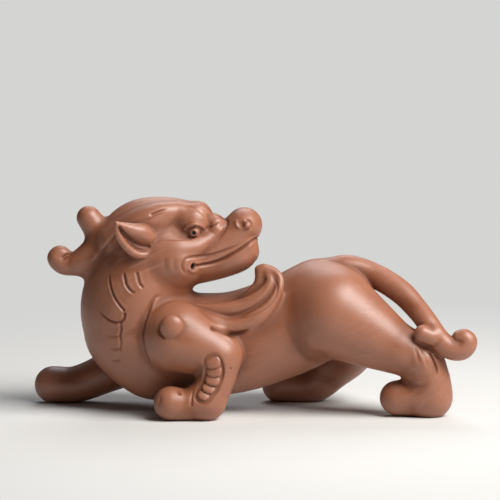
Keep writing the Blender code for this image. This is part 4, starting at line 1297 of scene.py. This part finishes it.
def clay_material():
    """Fired clay: cloudy brown, with painted shade in the hollows, and a painted highlight that
    makes proud edges paler, where it is also smoother.
    """
    material = bpy.data.materials.new("burnished_clay")
    material.use_nodes = True
    wiring = Wiring(material.node_tree)
    place = wiring.add("ShaderNodeTexCoord").outputs["Object"]
    grain = wiring.group(grain_group(), {"Vector": place})
    streaks = wiring.group(streak_group(), {"Vector": place})["Streaks"]
    relief = wiring.attribute("relief")
    # Masks from the relief: hollows get painted shade and proud edges a painted highlight in the
    # colour, and both also change the roughness
    hollow = wiring.spread(relief, 0.0, -1.0, 0.0, 1.0)
    proud = wiring.spread(relief, 0.0, 1.0, 0.0, 1.0)
    # Where the pits get painted shade
    pit = wiring.attribute("pit")
    layers = (
        (wiring.spread(grain["Clouds"], 0.35, 0.65, 0.0, 1.0), CLAY_PALE_SIDE),
        (wiring.spread(grain["Grain"], 0.35, 0.7, 0.0, 0.3), CLAY_GRIT),
        (wiring.spread(streaks, 0.02, 0.2, 0.0, 0.5), CLAY_BURNISHED),
        (wiring.spread(grain["Specks"], 0.0, 1.0, 0.0, 0.35), CLAY_SPECK),
        # Painted highlight on proud edges
        (wiring.spread(proud, 0.0, 1.0, 0.0, 0.45), CLAY_PAINTED_EDGE_HIGHLIGHT),
        # Painted shade in the hollows
        (wiring.spread(hollow, 0.0, 1.0, 0.0, 0.35), CLAY_PAINTED_HOLLOW_SHADE),
        # Painted shade: near black inside the marked pits
        (pit, CLAY_PAINTED_PIT_SHADE),
    )
    colour = opaque(CLAY_DARK_SIDE)
    for share, layer in layers:
        colour = wiring.mix(share, colour, opaque(layer))
    smoothest, roughest = CLAY_GLOSS - CLAY_GLOSS_SPREAD, CLAY_GLOSS + CLAY_GLOSS_SPREAD
    roughness = wiring.spread(grain["Grain"], 0.3, 0.7, smoothest, roughest)
    for mark, share in ((hollow, 0.2), (proud, -0.06), (pit, 0.5)):
        roughness = wiring.sum(roughness, mark, share)
    height = wiring.sum(grain["Grain"], streaks, STREAK_HEIGHT_SHARE)
    skin = {"Strength": 1.0, "Distance": GRAIN_HEIGHT, "Height": height}
    bump = wiring.add("ShaderNodeBump", skin).outputs["Normal"]
    wiring.feed(wiring.tree.nodes["Principled BSDF"], {
        "Base Color": colour, "Roughness": roughness, "Normal": bump, "IOR": CLAY_IOR,
    })
    return material


def stand_figure(piece):
    """Cuts the soles flat and moves the figure to where its solid stands."""
    points = get_points(piece.data)
    points[:, 2] = np.maximum(points[:, 2], 0.0)
    low, high = points.min(0), points.max(0)
    cad_middle = (np.array(CAD_LOW) + np.array(CAD_HIGH)) / 2
    offset = cad_middle - (low + high) / 2
    offset[2] = 0.0
    set_points(piece.data, points + offset)
    return Vector(offset)


def build_figure():
    """Makes the whole figure as one piece, and tells how far it was moved to stand."""
    rolls = body_rolls() + head_rolls() + tail_rolls() + wing_rolls()
    rolls += applied_rolls(Tracer(rolls))
    piece = skinned(rolls, FINE_VOXEL)
    presser = Presser(piece)
    tracer = Tracer(rolls)
    detail_head(presser, tracer)
    detail_body(presser, tracer)
    presser.apply()
    clay = clay_material()
    lay_on_pads(piece, tracer, clay)
    triangles = sum(len(polygon.vertices) - 2 for polygon in piece.data.polygons)
    if triangles > MOST_TRIANGLES:
        ratio = MOST_TRIANGLES / triangles
        bake(piece, {"ratio": ratio, "use_collapse_triangulate": True}, "DECIMATE")
    mark_surface(piece.data, presser.shade_painted_pits)
    offset = stand_figure(piece)
    piece.data.shade_smooth()
    piece.data.materials.clear()
    piece.data.materials.append(clay)
    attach(piece, "root")
    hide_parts(NODE)
    return offset


def floor_material():
    """Pale paper that fades, for the camera alone, into the even backdrop."""
    material = bpy.data.materials.new("floor_paper")
    material.use_nodes = True
    wiring = Wiring(material.node_tree)
    nodes = wiring.tree.nodes
    paper = wiring.feed(nodes["Principled BSDF"], {
        "Base Color": opaque(PAPER_COLOUR), "Roughness": PAPER_ROUGHNESS,
        "Specular IOR Level": PAPER_SHINE,
    })
    place = wiring.add("ShaderNodeTexCoord").outputs["Object"]
    distance = wiring.add("ShaderNodeVectorMath", {0: place}, operation="LENGTH").outputs["Value"]
    far = wiring.spread(distance, PAPER_FADE_START, PAPER_FADE_STOP, 0.0, 1.0)
    seen = wiring.math("MULTIPLY", far, wiring.add("ShaderNodeLightPath").outputs["Is Camera Ray"])
    even = wiring.add("ShaderNodeEmission", {"Color": opaque(BACKDROP_COLOUR)}).outputs["Emission"]
    both = wiring.add("ShaderNodeMixShader", {"Fac": seen, 1: paper.outputs["BSDF"], 2: even})
    wiring.feed(nodes["Material Output"], {"Surface": both.outputs["Shader"]})
    return material


def studio_world():
    """Soft daylight all round, in front of an even backdrop for the camera."""
    world = bpy.data.worlds.new("studio")
    world.use_nodes = True
    wiring = Wiring(world.node_tree)
    nodes = wiring.tree.nodes
    daylight = {"Color": opaque(SKY_COLOUR), "Strength": SKY_STRENGTH}
    light = wiring.feed(nodes["Background"], daylight).outputs["Background"]
    even = {"Color": opaque(BACKDROP_COLOUR)}
    backdrop = wiring.add("ShaderNodeBackground", even).outputs["Background"]
    seen = wiring.add("ShaderNodeLightPath").outputs["Is Camera Ray"]
    both = wiring.add("ShaderNodeMixShader", {"Fac": seen, 1: light, 2: backdrop})
    wiring.feed(nodes["World Output"], {"Surface": both.outputs["Shader"]})
    return world


def build_studio():
    """Plain pale floor and soft lamps."""
    bpy.ops.mesh.primitive_plane_add(size=FLOOR_SIDE, location=(0.0, 0.0, -FLOOR_GAP))
    floor = bpy.context.object
    floor.name = "floor"
    floor.data.materials.append(floor_material())
    bpy.context.scene.world = studio_world()
    for lamp in LAMPS:
        add_lamp(*lamp)


def add_lamp(name, place, size, power, colour):
    """A square soft lamp that faces the figure."""
    data = bpy.data.lights.new(name, "AREA")
    data.size = size
    data.energy = power
    data.color = colour
    lamp = bpy.data.objects.new(name, data)
    bpy.context.scene.collection.objects.link(lamp)
    lamp.location = place
    aim = LAMP_AIM - Vector(place)
    lamp.rotation_euler = aim.to_track_quat("-Z", "Y").to_euler()


def add_camera(offset):
    """The photograph's camera."""
    place, turn = camera_pose()
    data = bpy.data.cameras.new("camera")
    data.lens = LENS
    data.sensor_width = SENSOR
    data.clip_start, data.clip_end = CLIP_RANGE
    camera = bpy.data.objects.new("camera", data)
    bpy.context.scene.collection.objects.link(camera)
    camera.location = place + offset
    camera.rotation_mode = "QUATERNION"
    camera.rotation_quaternion = turn
    bpy.context.scene.camera = camera


standing_at = build_figure()
build_studio()
add_camera(standing_at)
bpy.context.scene.view_settings.view_transform = "Standard"
